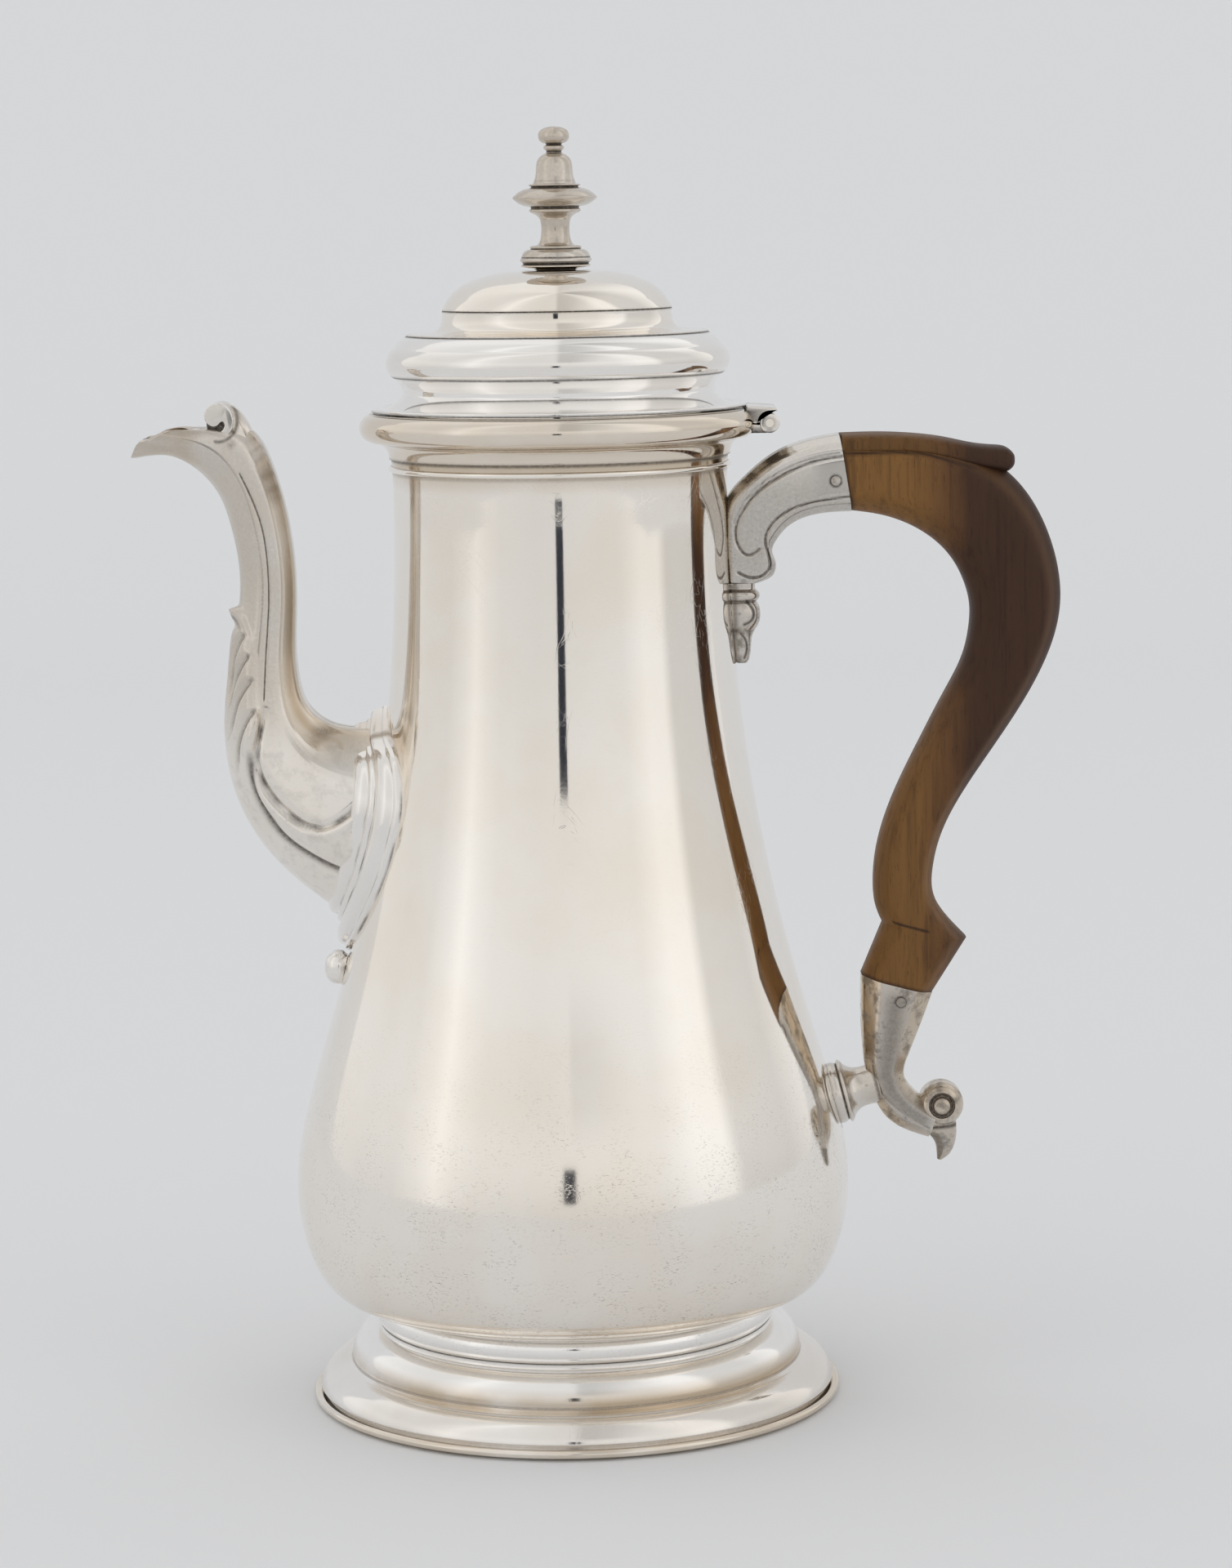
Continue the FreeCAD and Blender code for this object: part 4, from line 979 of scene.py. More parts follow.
@dataclass
class Vessel:
    """The raised body with its wires and foot."""

    finishes: Wardrobe
    base: float = 24.2
    top: float = 223.2
    neck: float = 37.1
    wall: float = 0.9
    side: tuple[Point, ...] = (
        (37.1, 200.0), (37.1, 197.5), (37.3, 159.0), (50.0, 94.5), (66.0, 53.0), (58.0, 24.8), (51.0, 24.2),
        (46.0, 24.2),
    )
    hinge_flat: float = 40.9
    hinge_half_width: float = 10.3

    def __post_init__(self) -> None:
        """Sample the body's side for pieces that follow it."""
        drawn = bspline(self.side, 240)[::-1]
        self.heights = np.concatenate([drawn[:, 1], [self.top]])
        self.radii = np.concatenate([drawn[:, 0], [self.neck]])

    def radius_at(self, height: np.ndarray) -> np.ndarray:
        """Return the body's outer radius at some heights."""
        return np.interp(height, self.heights, self.radii)

    def hug(self, skin: Skin, lift: float = 0.02) -> None:
        """Push the part of a skin that lies inside the body out to the body's surface.

        Args:
            skin: The surface to change.
            lift: How far outside the body's surface it ends.
        """
        points = skin.points
        radius = np.hypot(points[..., 0], points[..., 1])
        least = self.radius_at(points[..., 2]) + lift
        grow = np.where(radius < least, least / np.maximum(radius, TINY), 1.0)
        points[..., 0] *= grow
        points[..., 1] *= grow

    def build(self) -> None:
        """Make the body, its wires and its foot."""
        self.body()
        self.wires()
        self.foot()

    def body(self) -> None:
        """Raise the vessel, with a plain edge at the mouth and a floor inside."""
        inside = [(radius - self.wall, height) for radius, height in self.side]
        inside[5:] = [(57.1, 25.7), (50.1, 25.1), (45.1, 25.1)]
        profile = Profile([(0.0, self.base), (46.0, self.base)])
        profile.curve(self.side[-2::-1], 150).line((self.neck + 0.02, 205.0))
        profile.arc((self.neck + 0.1, 209.0), (self.neck + 0.34, 213.4))
        profile.line((self.neck, self.top), (self.neck - self.wall, self.top))
        profile.line(inside[0]).curve(inside[1:], 60).line((0.0, self.base + self.wall))
        skin = lathe(profile.drawn(0.2, 3.0), 224)
        skin.darken_rings([(46.3, 24.3, 0.4, 0.4), (37.3, 210.1, 0.28, 0.95), (37.4, 212.9, 0.4, 0.8)])
        height = skin.z
        skin.add("tan", 0.75 * ramp(height, 206.5, 211.5) + 0.1 * ramp(height, 27.5, 24.5))
        dress(make_piece("raised_body", [skin]), self.finishes.raised, Rigid.POT, Slot.RAISED, "body_shell")

    def wires(self) -> None:
        """Solder on the neck wire and the moulded rim."""
        wire = Profile([(self.neck, 210.2), (37.55, 210.2)]).arc((38.1, 210.85), (37.55, 211.5), 8)
        wire.line((self.neck, 211.5))
        ring = lathe(wire.drawn(0.1, 1.0), 200)
        ring.darken_rings([(37.2, 210.2, 0.3, 0.9), (37.2, 211.5, 0.3, 0.7)])
        dress(make_piece("neck_bead", [ring]), self.finishes.raised, Rigid.POT, Slot.RAISED, "neck_wire")
        rim = Profile([(self.neck, 213.0), (37.9, 213.0)]).arc((38.6, 215.4), (40.6, 216.6))
        rim.line((42.0, 216.9)).arc((44.3, 219.9), (41.7, 223.0), 22)
        rim.line((41.7, self.top), (self.neck, self.top))
        skin = lathe(rim.drawn(0.2, 1.2), 288)
        skin.darken_rings([(37.9, 212.9, 0.35, 0.9), (40.8, 216.6, 0.45, 0.75), (41.9, 223.2, 0.3, 0.6)])
        skin.add("tan", 0.4)
        notch = (skin.x > self.hinge_flat) & (abs(skin.y) < self.hinge_half_width)
        skin.points[..., 0] = np.where(notch, self.hinge_flat, skin.x)
        dress(make_piece("moulded_rim", [skin]), self.finishes.raised, Rigid.POT, Slot.RAISED, "rim_moulding")

    def foot(self) -> None:
        """Build the hollow foot in its three pieces."""
        rim = Profile([(55.7, 0.0), (57.3, 0.0), (59.5, 0.75)]).arc((59.9, 1.5), (59.1, 2.5), 12)
        rim.line((55.7, 2.5), (55.7, 0.0))
        ring = lathe(rim.drawn(0.2, 0.8), 240).darken_rings([(57.6, 2.6, 0.25, 0.7)])
        ring.add("tan", 0.5)
        dress(make_piece("foot_wire", [ring]), self.finishes.raised, Rigid.POT, Slot.RAISED, "foot_rim")
        step = Profile([(57.2, 2.5), (57.2, 3.3), (58.4, 3.3)]).arc((57.0, 6.4), (52.4, 8.8), 24)
        step.line((51.3, 9.2), (51.0, 9.2), (51.0, 10.2)).arc((49.2, 14.6), (44.4, 17.5), 24)
        step.line((43.2, 17.5)).arc((47.9, 13.9), (49.8, 9.6)).line((50.1, 8.2), (51.9, 7.7))
        step.arc((55.0, 5.6), (56.0, 2.5)).line((57.2, 2.5))
        skin = lathe(step.drawn(0.2, 0.8), 260)
        skin.darken_rings([(57.3, 2.9, 0.26, 0.7), (51.1, 9.35, 0.17, 0.6), (44.3, 17.5, 0.2, 0.8)])
        height = skin.z
        # Painted reflection: warm colour on the lower part of the upper ogee, fainter on everything below the
        # step.
        skin.add("tan", np.where(height > 9.3, 0.95 * ramp(height, 13.4, 10.4), 0.26))
        piece = make_piece("stepped_foot", [skin])
        dress(piece, self.finishes.clean, Rigid.POT, Slot.RAISED, "foot_moulding")
        swell = Profile([(44.4, 17.5)]).arc((45.5, 20.15), (44.4, 22.8), 16).line((46.0, 24.2), (44.8, 24.2))
        swell.line((43.2, 22.8), (43.2, 17.5), (44.4, 17.5))
        skin = lathe(swell.drawn(0.15, 0.6), 240)
        skin.darken_rings([(44.4, 17.5, 0.2, 0.8), (44.7, 23.1, 0.3, 0.2)])
        dress(make_piece("foot_swell", [skin]), self.finishes.clean, Rigid.POT, Slot.RAISED, "foot_collar")


@dataclass
class Lid:
    """The hinged lid with its finial."""

    finishes: Wardrobe
    seat: float = 223.45
    crown: float = 253.85
    barrel: float = 2.2
    barrel_gap: float = 0.3
    leaf_half_width: float = 10.0
    notch: float = 40.9
    finial_lines: tuple[Ring, ...] = (
        (7.4, 1.6, 0.4, 1.0), (7.6, 2.9, 0.22, 0.9), (5.5, 4.8, 0.2, 0.8), (4.9, 5.5, 0.25, 0.7),
        (5.3, 13.8, 0.3, 1.0), (5.2, 18.35, 0.3, 1.0), (1.6, 26.0, 0.4, 1.0), (1.65, 27.5, 0.4, 1.0),
        (4.5, 19.6, 0.3, 0.35),
    )

    def build(self) -> None:
        """Make the lid's turned pieces and finish the nodes that stay."""
        self.moulding()
        self.dome()
        self.finial()
        self.hinge()
        for node in ("lid_bezel", "finial_nut", "hinge_pin"):
            dress_node(node, self.finishes.raised)

    def hinge(self) -> None:
        """Build the two leaves of the hinge round its pin."""
        low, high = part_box("hinge_pin")
        x, z = (low[0] + high[0]) / 2 / MM, (low[2] + high[2]) / 2 / MM
        barrel, gap, half, notch = self.barrel, self.barrel_gap, self.leaf_half_width, self.notch
        block = np.array([(notch, z - barrel), (x, z - barrel), (x, z - gap), (notch, z - gap)])
        bracket = slab(block, half - 0.8, 0.25)
        # Painted shade along the bracket's underside.
        bracket.add("patina", np.clip((z - barrel + 0.7 - bracket.z) / 0.5, 0.0, 0.95))
        parts = [bracket]
        for side in (-1.0, 1.0):
            knuckle = side_disc((x, z), barrel, 3.0, 0.4, 48)
            knuckle.points[..., 1] += 6.95 * side
            reach = np.hypot(knuckle.x - x, knuckle.z - z)
            knuckle.add("patina", 0.3 * bell(reach - 0.95, 0.16))
            # Painted shade on the lower part of each knuckle.
            knuckle.add("patina", np.clip((z - 1.5 - knuckle.z) / 0.7, 0.0, 0.9))
            parts.append(knuckle)
        piece = make_piece("hinge_bracket", parts)
        dress(piece, self.finishes.cast, Rigid.POT, Slot.RAISED, "hinge_body_leaf")
        turn = np.linspace(math.pi, math.pi / 2, 12)
        clear = barrel + gap
        edge = [(notch + 0.4, z + 0.05)]
        edge += [(x + clear * math.cos(angle), z + clear * math.sin(angle) + 0.05) for angle in turn]
        edge += [(x + 1.8, z + clear), (x + 1.8, z + 3.25), (notch + 0.2, z + 3.8)]
        plate = slab(np.array(edge), half, 0.2)
        round_barrel = np.hypot(plate.x - x, plate.z - z)
        # Painted shade in the gaps round the barrel and at the notch in the rim.
        plate.add("patina", 0.9 * bell(round_barrel - clear, 0.28))
        plate.add("patina", 0.9 * bell(plate.x - notch - 0.4, 0.22))
        middle = side_disc((x, z), barrel, 3.5, 0.2, 48)
        piece = make_piece("hinge_plate", [plate, middle])
        dress(piece, self.finishes.cast, Rigid.LID, Slot.RAISED, "hinge_lid_leaf")

    def moulding(self) -> None:
        """Turn the flange, waist and torus."""
        outline = Profile([(35.5, 0), (41.5, 0), (41.5, 0.85)], self.seat).arc((36.4, 1.7), (34.5, 3.8))
        outline.arc((35.1, 5.9), (36.8, 7.6)).arc((38.1, 11.0), (36.6, 13.7), 20)
        outline.arc((35.4, 15.3), (33.5, 16.5)).line((32.5, 16.5), (35.6, 13.2), (37.1, 11.0), (35.8, 7.6))
        outline.line((33.5, 3.8), (34.5, 0.9), (35.5, 0.9), (35.5, 0))
        skin = lathe(outline.drawn(0.22, 1.2), 224)
        skin.add("tan", 0.14 * np.exp(-(((skin.z - self.seat - 11.0) / 2.6) ** 4)))
        skin.darken_rings([(36.9, 7.5, 0.42, 0.95), (41.5, 0, 0.3, 0.9), (33.5, 16.5, 0.35, 0.8)], self.seat)
        dress(make_piece("moulded_lid", [skin]), self.finishes.clean, Rigid.LID, Slot.RAISED, "lid_moulding")

    def dome(self) -> None:
        """Raise the drum and dome."""
        top = self.crown - self.seat
        outline = Profile([(1.82, top - 1.0), (1.82, top), (7.0, top)], self.seat)
        outline.arc((14.5, 29.8), (20.5, 27.7), 22).arc((23.7, 25.1), (25.5, 22.1), 14)
        outline.line((25.3, 21.95), (25.5, 21.8))
        outline.curve([(25.4, 20.2), (25.6, 18.2), (27.6, 17.0), (33.4, 16.9)], 26)
        outline.line((33.5, 16.5), (31.5, 16.5), (24.4, 17.4), (24.5, 22.1)).arc((22.7, 24.6), (20.0, 26.7))
        outline.arc((14.5, 28.8), (7.0, top - 1.0)).line((1.82, top - 1.0))
        skin = lathe(outline.drawn(0.18, 1.4), 224)
        # The ring at the crown is painted shade on the dome under the washer's lifted edge; the other two
        # darken joints.
        skin.darken_rings([(25.4, 21.9, 0.22, 1.0), (33.6, 16.5, 0.35, 0.9), (6.6, top, 0.6, 0.9)], self.seat)
        dress(make_piece("raised_dome", [skin]), self.finishes.raised, Rigid.LID, Slot.RAISED, "lid_dome")

    def finial(self) -> None:
        """Turn the finial and the washer below it."""
        crown = self.crown
        washer = Profile([(1.82, 0), (4.3, 0), (5.0, 0.4), (7.6, 0.85)], crown)
        washer.line((7.8, 1.1), (7.2, 1.5), (1.82, 1.5))
        skin = lathe(washer.drawn(0.15, 0.6), 120)
        # The second ring is painted shade on the washer's underside, where it lifts off the dome.
        skin.darken_rings([(7.4, 1.5, 0.35, 1.0), (4.6, 0, 0.7, 0.4)], crown).add("tan", 0.7)
        piece = make_piece("finial_washer", [skin])
        dress(piece, self.finishes.raised, Rigid.LID, Slot.RAISED, "finial_seat")
        outline = Profile([(0, -4.9), (1.8, -4.9), (1.8, 1.5), (7.2, 1.5), (7.6, 1.95), (7.95, 2.1)], crown)
        outline.line((7.95, 2.5), (7.6, 2.8), (7.6, 3.0)).arc((7.0, 4.15), (5.7, 4.7))
        outline.line((5.45, 4.8), (5.7, 4.95), (5.7, 5.3), (5.2, 5.45), (4.2, 5.55))
        outline.curve([(3.4, 6.0), (3.0, 8.6), (3.2, 10.6), (3.5, 12.0), (5.3, 12.7)], 30)
        outline.line((5.7, 12.95), (5.7, 13.4), (5.3, 13.6), (5.3, 13.95)).arc((8.0, 14.75), (9.35, 15.85))
        outline.line((9.35, 16.1)).arc((8.0, 17.25), (5.6, 18.1))
        outline.line((5.2, 18.2), (5.2, 18.45), (5.75, 18.6), (5.75, 18.85), (4.8, 19.0))
        outline.curve([(4.2, 20.0), (4.0, 22.4), (3.9, 24.4), (2.6, 25.4), (1.75, 25.7)], 30)
        outline.line((1.6, 26.1), (2.25, 26.6), (2.3, 27.0), (2.2, 27.2), (1.6, 27.5), (1.9, 27.8))
        outline.arc((3.2, 28.5), (3.4, 29.6), 10).curve([(3.4, 30.9), (1.9, 31.5), (0, 31.5)], 12)
        skin = lathe(outline.drawn(0.16, 0.5), 128).darken_rings(self.finial_lines, crown)
        skin.add("tan", 0.5).add("patina", 0.23)
        dress(make_piece("turned_finial", [skin]), self.finishes.raised, Rigid.LID, Slot.RAISED, "finial")


@dataclass
class Spout:
    """The cast spout, its stepped mount and the bead below."""

    finishes: Wardrobe
    vessel: Vessel
    stations: tuple[Station, ...] = stations_of(
        (-44.0, 108.2, -37.0, 152.7, 14.5), (-54.2, 114.8, -48.2, 153.2, 14.0),
        (-65.6, 125.2, -54.0, 155.2, 12.4), (-73.4, 139.6, -57.8, 159.6, 10.6),
        (-75.2, 157.2, -59.4, 166.8, 8.8), (-73.4, 172.6, -59.6, 173.8, 7.4),
        (-71.8, 185.0, -59.2, 185.0, 6.7), (-73.6, 199.2, -61.0, 202.2, 6.7),
        (-77.4, 208.0, -64.0, 213.0, 7.1), (-84.6, 213.8, -68.4, 220.0, 7.7),
        (-95.2, 215.2, -79.6, 221.2, 8.2),
    )
    half_section: tuple[Point, ...] = ((0, 0.34), (0.24, 0.86), (0.62, 1), (0.9, 0.56), (1, 0.14))
    wall: float = 1.3
    clear_of_body: float = 0.6
    lip_rise: float = 2.0
    steps: tuple[Point, ...] = (
        (0.0, 21.8), (1.0, 21.7), (1.15, 21.2), (1.25, 20.9), (2.6, 20.5), (3.4, 19.6), (3.8, 18.3),
        (3.5, 17.2), (3.4, 16.9), (4.3, 16.6), (4.45, 16.0), (4.5, 15.7), (5.9, 15.3), (6.8, 14.5),
        (7.2, 13.7), (6.8, 13.0), (6.4, 12.6),
    )
    leaf_edge: tuple[Point, ...] = (
        (-79.0, 182.6), (-74.6, 181.9), (-72.4, 180.8), (-70.9, 179.4), (-69.5, 176.6), (-68.2, 173.2),
        (-67.4, 168.4), (-67.2, 162.6), (-67.2, 156.6), (-68.0, 151.9), (-68.7, 147.8), (-68.2, 144.2),
        (-66.6, 140.6), (-63.9, 137.2), (-61.1, 134.6), (-57.8, 132.6), (-54.5, 132.0), (-51.4, 132.8),
        (-47.6, 135.2), (-43.0, 139.0),
    )
    crisp_from: float = 30.0
    valleys: tuple[tuple[Point, ...], ...] = (
        (
            (-70.1, 175.1), (-71.2, 173.8), (-72.1, 172.0), (-72.8, 170.1), (-73.2, 168.3), (-73.8, 165.0),
            (-74.6, 160.0),
        ),
        (
            (-69.1, 170.5), (-70.3, 169.3), (-71.5, 167.4), (-72.4, 165.6), (-73.2, 163.4), (-74.0, 160.4),
            (-74.9, 155.0),
        ),
        (
            (-68.6, 165.2), (-69.8, 163.9), (-70.9, 162.3), (-72.1, 160.3), (-73.0, 157.8), (-73.8, 154.4),
            (-74.4, 149.5),
        ),
        (
            (-68.1, 158.6), (-69.4, 157.0), (-70.5, 155.2), (-71.4, 153.4), (-72.1, 151.4), (-72.6, 148.0),
            (-72.4, 144.0),
        ),
    )
    band_groove: tuple[Point, ...] = (
        (-69.3, 150.0), (-69.5, 146.6), (-69.3, 143.1), (-68.5, 139.4), (-66.8, 135.6), (-64.4, 131.9),
        (-60.9, 128.4), (-57.1, 125.9), (-53.3, 123.8), (-49.0, 122.0), (-43.0, 119.6),
    )
    seam: tuple[Point, ...] = (
        (-70.6, 210.6), (-69.7, 208.7), (-67.8, 204.2), (-66.1, 198.7), (-65.2, 192.4), (-64.9, 185.1),
        (-65.1, 179.7), (-65.7, 172.4), (-66.1, 166.9), (-66.5, 160.4),
    )
    back_edge: tuple[Point, ...] = (
        (-71.1, 221.3), (-67.7, 214.9), (-65.2, 208.5), (-63.1, 201.3), (-62.1, 194.0), (-61.8, 184.9),
        (-62.0, 175.8), (-62.5, 166.7), (-62.0, 161.1), (-59.4, 154.7), (-55.0, 150.8), (-51.3, 149.5),
    )
    scroll: tuple[Point, ...] = (
        (-81.6, 219.6), (-79.6, 218.8), (-77.4, 218.2), (-75.4, 218.05), (-73.4, 218.7), (-72.0, 220.3),
        (-71.6, 222.4), (-72.2, 224.4), (-73.5, 225.7), (-75.2, 226.25), (-76.9, 225.8), (-78.0, 224.7),
        (-78.3, 223.2), (-77.7, 221.75), (-76.4, 220.85), (-75.2, 221.2), (-74.5, 222.1), (-73.9, 222.0),
        (-73.7, 221.0), (-74.4, 219.95), (-75.8, 219.5), (-77.8, 219.7), (-79.8, 220.2), (-81.4, 220.4),
    )
    scroll_half_width: float = 6.2
    scroll_eye: Point = (-75.3, 221.4)
    shield_heights: tuple[Point, ...] = ((133.6, -5.2), (127.4, -3.0), (106.0, 2.8), (78.2, 12.4))
    mount_lines: tuple[Point, ...] = ((0, 0.8), (10, 0.45), (31, 1.0), (43, 0.5), (63, 0.9))
    bead_x: float = -52.0
    bead_height: float = 74.4
    crest: tuple[Station, ...] = stations_of(
        (-73.0, 212.6, -65.4, 214.6, 5.0), (-73.4, 217.4, -67.5, 218.6, 5.2),
        (-74.2, 220.4, -69.4, 222.3, 5.3), (-75.0, 222.0, -71.5, 224.8, 5.2),
        (-75.6, 222.8, -74.1, 226.0, 5.0), (-76.2, 223.0, -76.0, 226.05, 4.6),
    )

    def build(self) -> None:
        """Make the casting, its mount and its bead."""
        self.casting()
        self.mount()
        self.bead()

    def section(self) -> np.ndarray:
        """Return the faceted section with softened corners."""
        return section_of(self.half_section, 1.1, (13.0, 7.0), 0.14)

    def casting(self) -> None:
        """Cast the spout: carved outside, plain channel inside, rolled lip."""
        section = self.section()
        outside = bar(self.stations, section, 520)
        inside = bar(self.stations, section, 160, inset=self.wall)
        for skin in (outside, inside):
            self.raise_lip(skin, section)
        self.carve(outside)
        self.tarnish(outside)
        inside.add("patina", 0.3).add("tan", 1.0)
        lip = self.lip_bead(outside, inside)
        for skin in (outside, inside):
            self.vessel.hug(skin, self.clear_of_body)
        inside.points = inside.points[:, ::-1]
        piece = make_piece("cast_spout", [outside, inside, lip, *self.roll()])
        dress(piece, self.finishes.cast, Rigid.POT, Slot.CAST, "spout_left_half", "spout_right_half")

    def raise_lip(self, skin: Skin, section: np.ndarray) -> None:
        """Arch the rim of the mouth upwards between its tip and its scroll.

        Args:
            skin: The surface to change.
            section: The section that it was drawn with.
        """
        rows = len(skin.points)
        grown = ramp(np.arange(rows) / (rows - 1), 0.9, 1.0)
        share = section[:, 0]
        arch = self.lip_rise * 4 * share * (1 - share) - 1.6 * (1 - share) ** 3 - 0.7 * share**6
        arch += 1.2 * bell(share - 0.86, 0.11)
        skin.points[..., 2] += grown[:, None] ** 1.5 * arch

    def carve(self, skin: Skin) -> None:
        """Raise the leaf on the front of the spout, with its fingers, bands and curled tip.

        Args:
            skin: The surface to change.
        """
        points = skin.points
        shape = points.shape[:2]
        places = skin.side_view()
        normals = self.normals(points)
        away, run = beside(places, spline_through(self.leaf_edge, 140))
        crisp = ramp(run, self.crisp_from, self.crisp_from + 3.0)
        fade = 2.6 - 2.0 * crisp
        inside = np.clip(-away / fade, 0.0, 1.0)
        inside = inside * inside * (3 - 2 * inside)
        lift = 0.95 * inside
        grime = np.zeros(len(places))
        for valley in self.valleys:
            line = spline_through(valley, 60)
            gap, far = beside(places, line)
            begun = ramp(far, 0.0, 1.2)
            ended = ramp(far, 16.5, 11.5)
            lift -= inside * begun * ended * 0.95 * bell(gap, 0.62)
            start = bell(far - 0.6, 1.2) * bell(gap, 0.55)
            grime = np.maximum(grime, inside * np.maximum(0.7 * start, 0.45 * ended * bell(gap, 0.4)))
        groove, along = beside(places, spline_through(self.band_groove, 90))
        begun = ramp(along, 0.0, 4.0)
        lift -= inside * begun * (0.75 * bell(groove, 0.75) + 0.35 * bell(groove, 2.0))
        grime = np.maximum(grime, begun * 0.8 * bell(groove, 0.6))
        lift += crisp * 0.5 * bell(away + 1.3, 1.05)
        lift -= crisp * 0.5 * bell(away - 0.3, 0.8)
        worn = 0.55 + 0.45 * np.sin(run * 0.83) * np.sin(run * 0.29 + 1.0)
        grime = np.maximum(grime, crisp * 0.95 * worn * bell(away - 0.3, 0.5))
        margin = ramp(run, 4.0, 5.5) * ramp(run, 15.0, 11.0)
        lift += margin * 0.55 * bell(away + 0.7, 0.55)
        grime = np.maximum(grime, margin * 0.55 * bell(away + 1.9, 0.5))
        lift += self.leaf_tip(points).ravel()
        cut = bell(beside(places, spline_through(self.seam, 120))[0], 0.2)
        lift -= 0.25 * cut
        skin.add("patina", np.maximum(grime, 0.85 * cut).reshape(shape))
        facet = skin.away_from(spline_through(self.back_edge, 120))
        skin.add("tan", 0.75 * bell(facet - 1.5, 1.1))
        lift += 0.7 * ramp(-places[:, 0], 87.0, 94.0)
        points += normals * lift.reshape(shape)[..., None]
        points[..., 0] = np.maximum(points[..., 0], self.stations[-1].outer[0])

    @staticmethod
    def leaf_tip(points: np.ndarray) -> np.ndarray:
        """Curl the leaf's tip off the front of the spout.

        Args:
            points: The spout's rows and columns of points.

        Returns:
            How far each point moves out.
        """
        height = points[..., 2]
        over = np.clip((height - 179.6) / 0.9, 0.0, 3.0)
        below = np.clip((179.6 - height) / 1.7, 0.0, 9.0)
        hook = 1.5 * np.exp(-(over**2) - below**2) - 0.55 * bell(height - 176.4, 1.3)
        return hook * bell(points[..., 1], 2.6) * (points[..., 0] < -69.0)

    def tarnish(self, skin: Skin) -> None:
        """Warm the beak and the facet that faces the body, and darken their joints.

        Args:
            skin: The surface to change.
        """
        x, height = skin.x, skin.z
        beak = ramp(-x, 76.0, 83.0) * ramp(height, 208.0, 213.0)
        skin.add("tan", 0.85 * beak)
        old = ramp(height, 148.0, 164.0) * ramp(-x, 55.0, 61.0)
        skin.add("patina", 0.2 * old)
        skin.add("tan", 0.22 * old + 0.08 * ramp(-x, 64.0, 69.0))
        front = bell(skin.y, 0.55) * np.where(height < 158.0, 0.6, 0.3)
        skin.add("patina", front * (height < 206.0))
        self.shade_scroll(skin)
        skin.stain(both_sides((-72.4, 6.4, 217.0), (-80.0, 5.5, 212.2)), 1.5, 0.45)
        skin.stain(np.array([(-53.6, across, 152.6) for across in np.linspace(-7.0, 7.0, 15)]), 2.0, 0.4)
        fade = ramp(x, -62.0, -53.0)
        skin.add("tan", 0.6 * bell(height - 152.0, 5.0) * fade)

    @staticmethod
    def normals(points: np.ndarray) -> np.ndarray:
        """Find the outward normals of a closed tube of points.

        Args:
            points: The tube's rows and columns of points.

        Returns:
            One unit vector for each point.
        """
        along = np.gradient(points, axis=0)
        around = np.roll(points, -1, axis=1) - np.roll(points, 1, axis=1)
        normal = np.cross(around, along)
        normal /= np.maximum(np.linalg.norm(normal, axis=2), TINY)[..., None]
        centre = points.mean(axis=1, keepdims=True)
        facing = np.sign(((points - centre) * normal).sum(axis=2).mean())
        return normal * facing

    def roll(self) -> list[Skin]:
        """Carry the back of the spout up into a crest and roll its lip over into a scroll.

        Returns:
            The scroll, its hollow painted dark as shade, and the crest.
        """
        half = self.scroll_half_width
        spiral = slab(np.array(self.scroll), half, 0.35)
        spiral.add("tan", 0.35 * ramp(abs(spiral.y), 4.6, 3.6))
        spiral.add("patina", np.where(abs(spiral.y) > half - 0.05, 0.14, 0.05))
        # Painted shade: a disc sunk into the scroll's eye and painted near-black.
        hollow = side_disc(self.scroll_eye, 2.5, half - 1.5, 0.2, 48)
        hollow.add("patina", 0.93)
        crest = bar(self.crest, self.section(), 70)
        crest.close_first = crest.close_last = True
        crest.add("tan", 0.35)
        self.shade_scroll(crest)
        return [spiral, hollow, crest]

    @staticmethod
    def shade_scroll(skin: Skin) -> None:
        """Darken a skin in the crease round the scroll.

        Args:
            skin: The surface to change.
        """
        turn = np.radians(np.linspace(40.0, -100.0, 50))
        crease = np.stack([-75.0 + 4.0 * np.cos(turn), 222.2 + 4.5 * np.sin(turn)], axis=1)
        skin.add("patina", 0.7 * bell(skin.away_from(crease), 0.5) * (abs(skin.y) > 1.5))

    @staticmethod
    def lip_bead(outside: Skin, inside: Skin) -> Skin:
        """Edge the mouth with a rounded bead.

        Args:
            outside: The spout's outside.
            inside: Its channel.

        Returns:
            The bead.
        """
        along = outside.points[-1] - outside.points[-6]
        out = outside.points[-1] - inside.points[-1]
        along /= np.linalg.norm(along, axis=1)[:, None]
        out /= np.linalg.norm(out, axis=1)[:, None]
        angle = np.linspace(0.0, math.tau, 14, endpoint=False)[None, :, None]
        middle = (outside.points[-1] + inside.points[-1]) / 2 - 0.45 * along
        turned = np.cos(angle) * 0.75 * along[:, None, :] + np.sin(angle) * out[:, None, :]
        return Skin(middle[:, None, :] + 0.8 * turned, wrap_rows=True).add("tan", 0.8)

    def shield(
        self, half_width: float, peak: float, shoulder: float, widest: float, point: float
    ) -> np.ndarray:
        """Draw one step's outline.

        Args:
            half_width: Its greatest distance from the middle.
            peak: Height of its top.
            shoulder: Height at which its top slope ends.
            widest: Height at which it is widest.
            point: Height of its lower tip.

        Returns:
            Places across and up, evenly spaced from the peak round to the peak.
        """
        bulge = (shoulder + widest) / 2 + (shoulder - widest) * 0.2
        fall = (widest + point) / 2 - (widest - point) * 0.12
        half = Profile([(0.0, peak), (0.36 * half_width, shoulder)])
        half.arc((0.86 * half_width, bulge), (half_width, widest))
        half.arc((0.72 * half_width, fall), (0.0, point), 30)
        right = np.array(half.points)
        run = np.concatenate([[0.0], np.cumsum(np.linalg.norm(np.diff(right, axis=0), axis=1))])
        even = np.linspace(0.0, run[-1], 110)
        right = np.stack([np.interp(even, run, right[:, 0]), np.interp(even, run, right[:, 1])], axis=1)
        right[5:60] = self.relaxed(right[5:60], 14)
        left = right[-2:0:-1] * np.array([-1.0, 1.0])
        return np.concatenate([right, left])

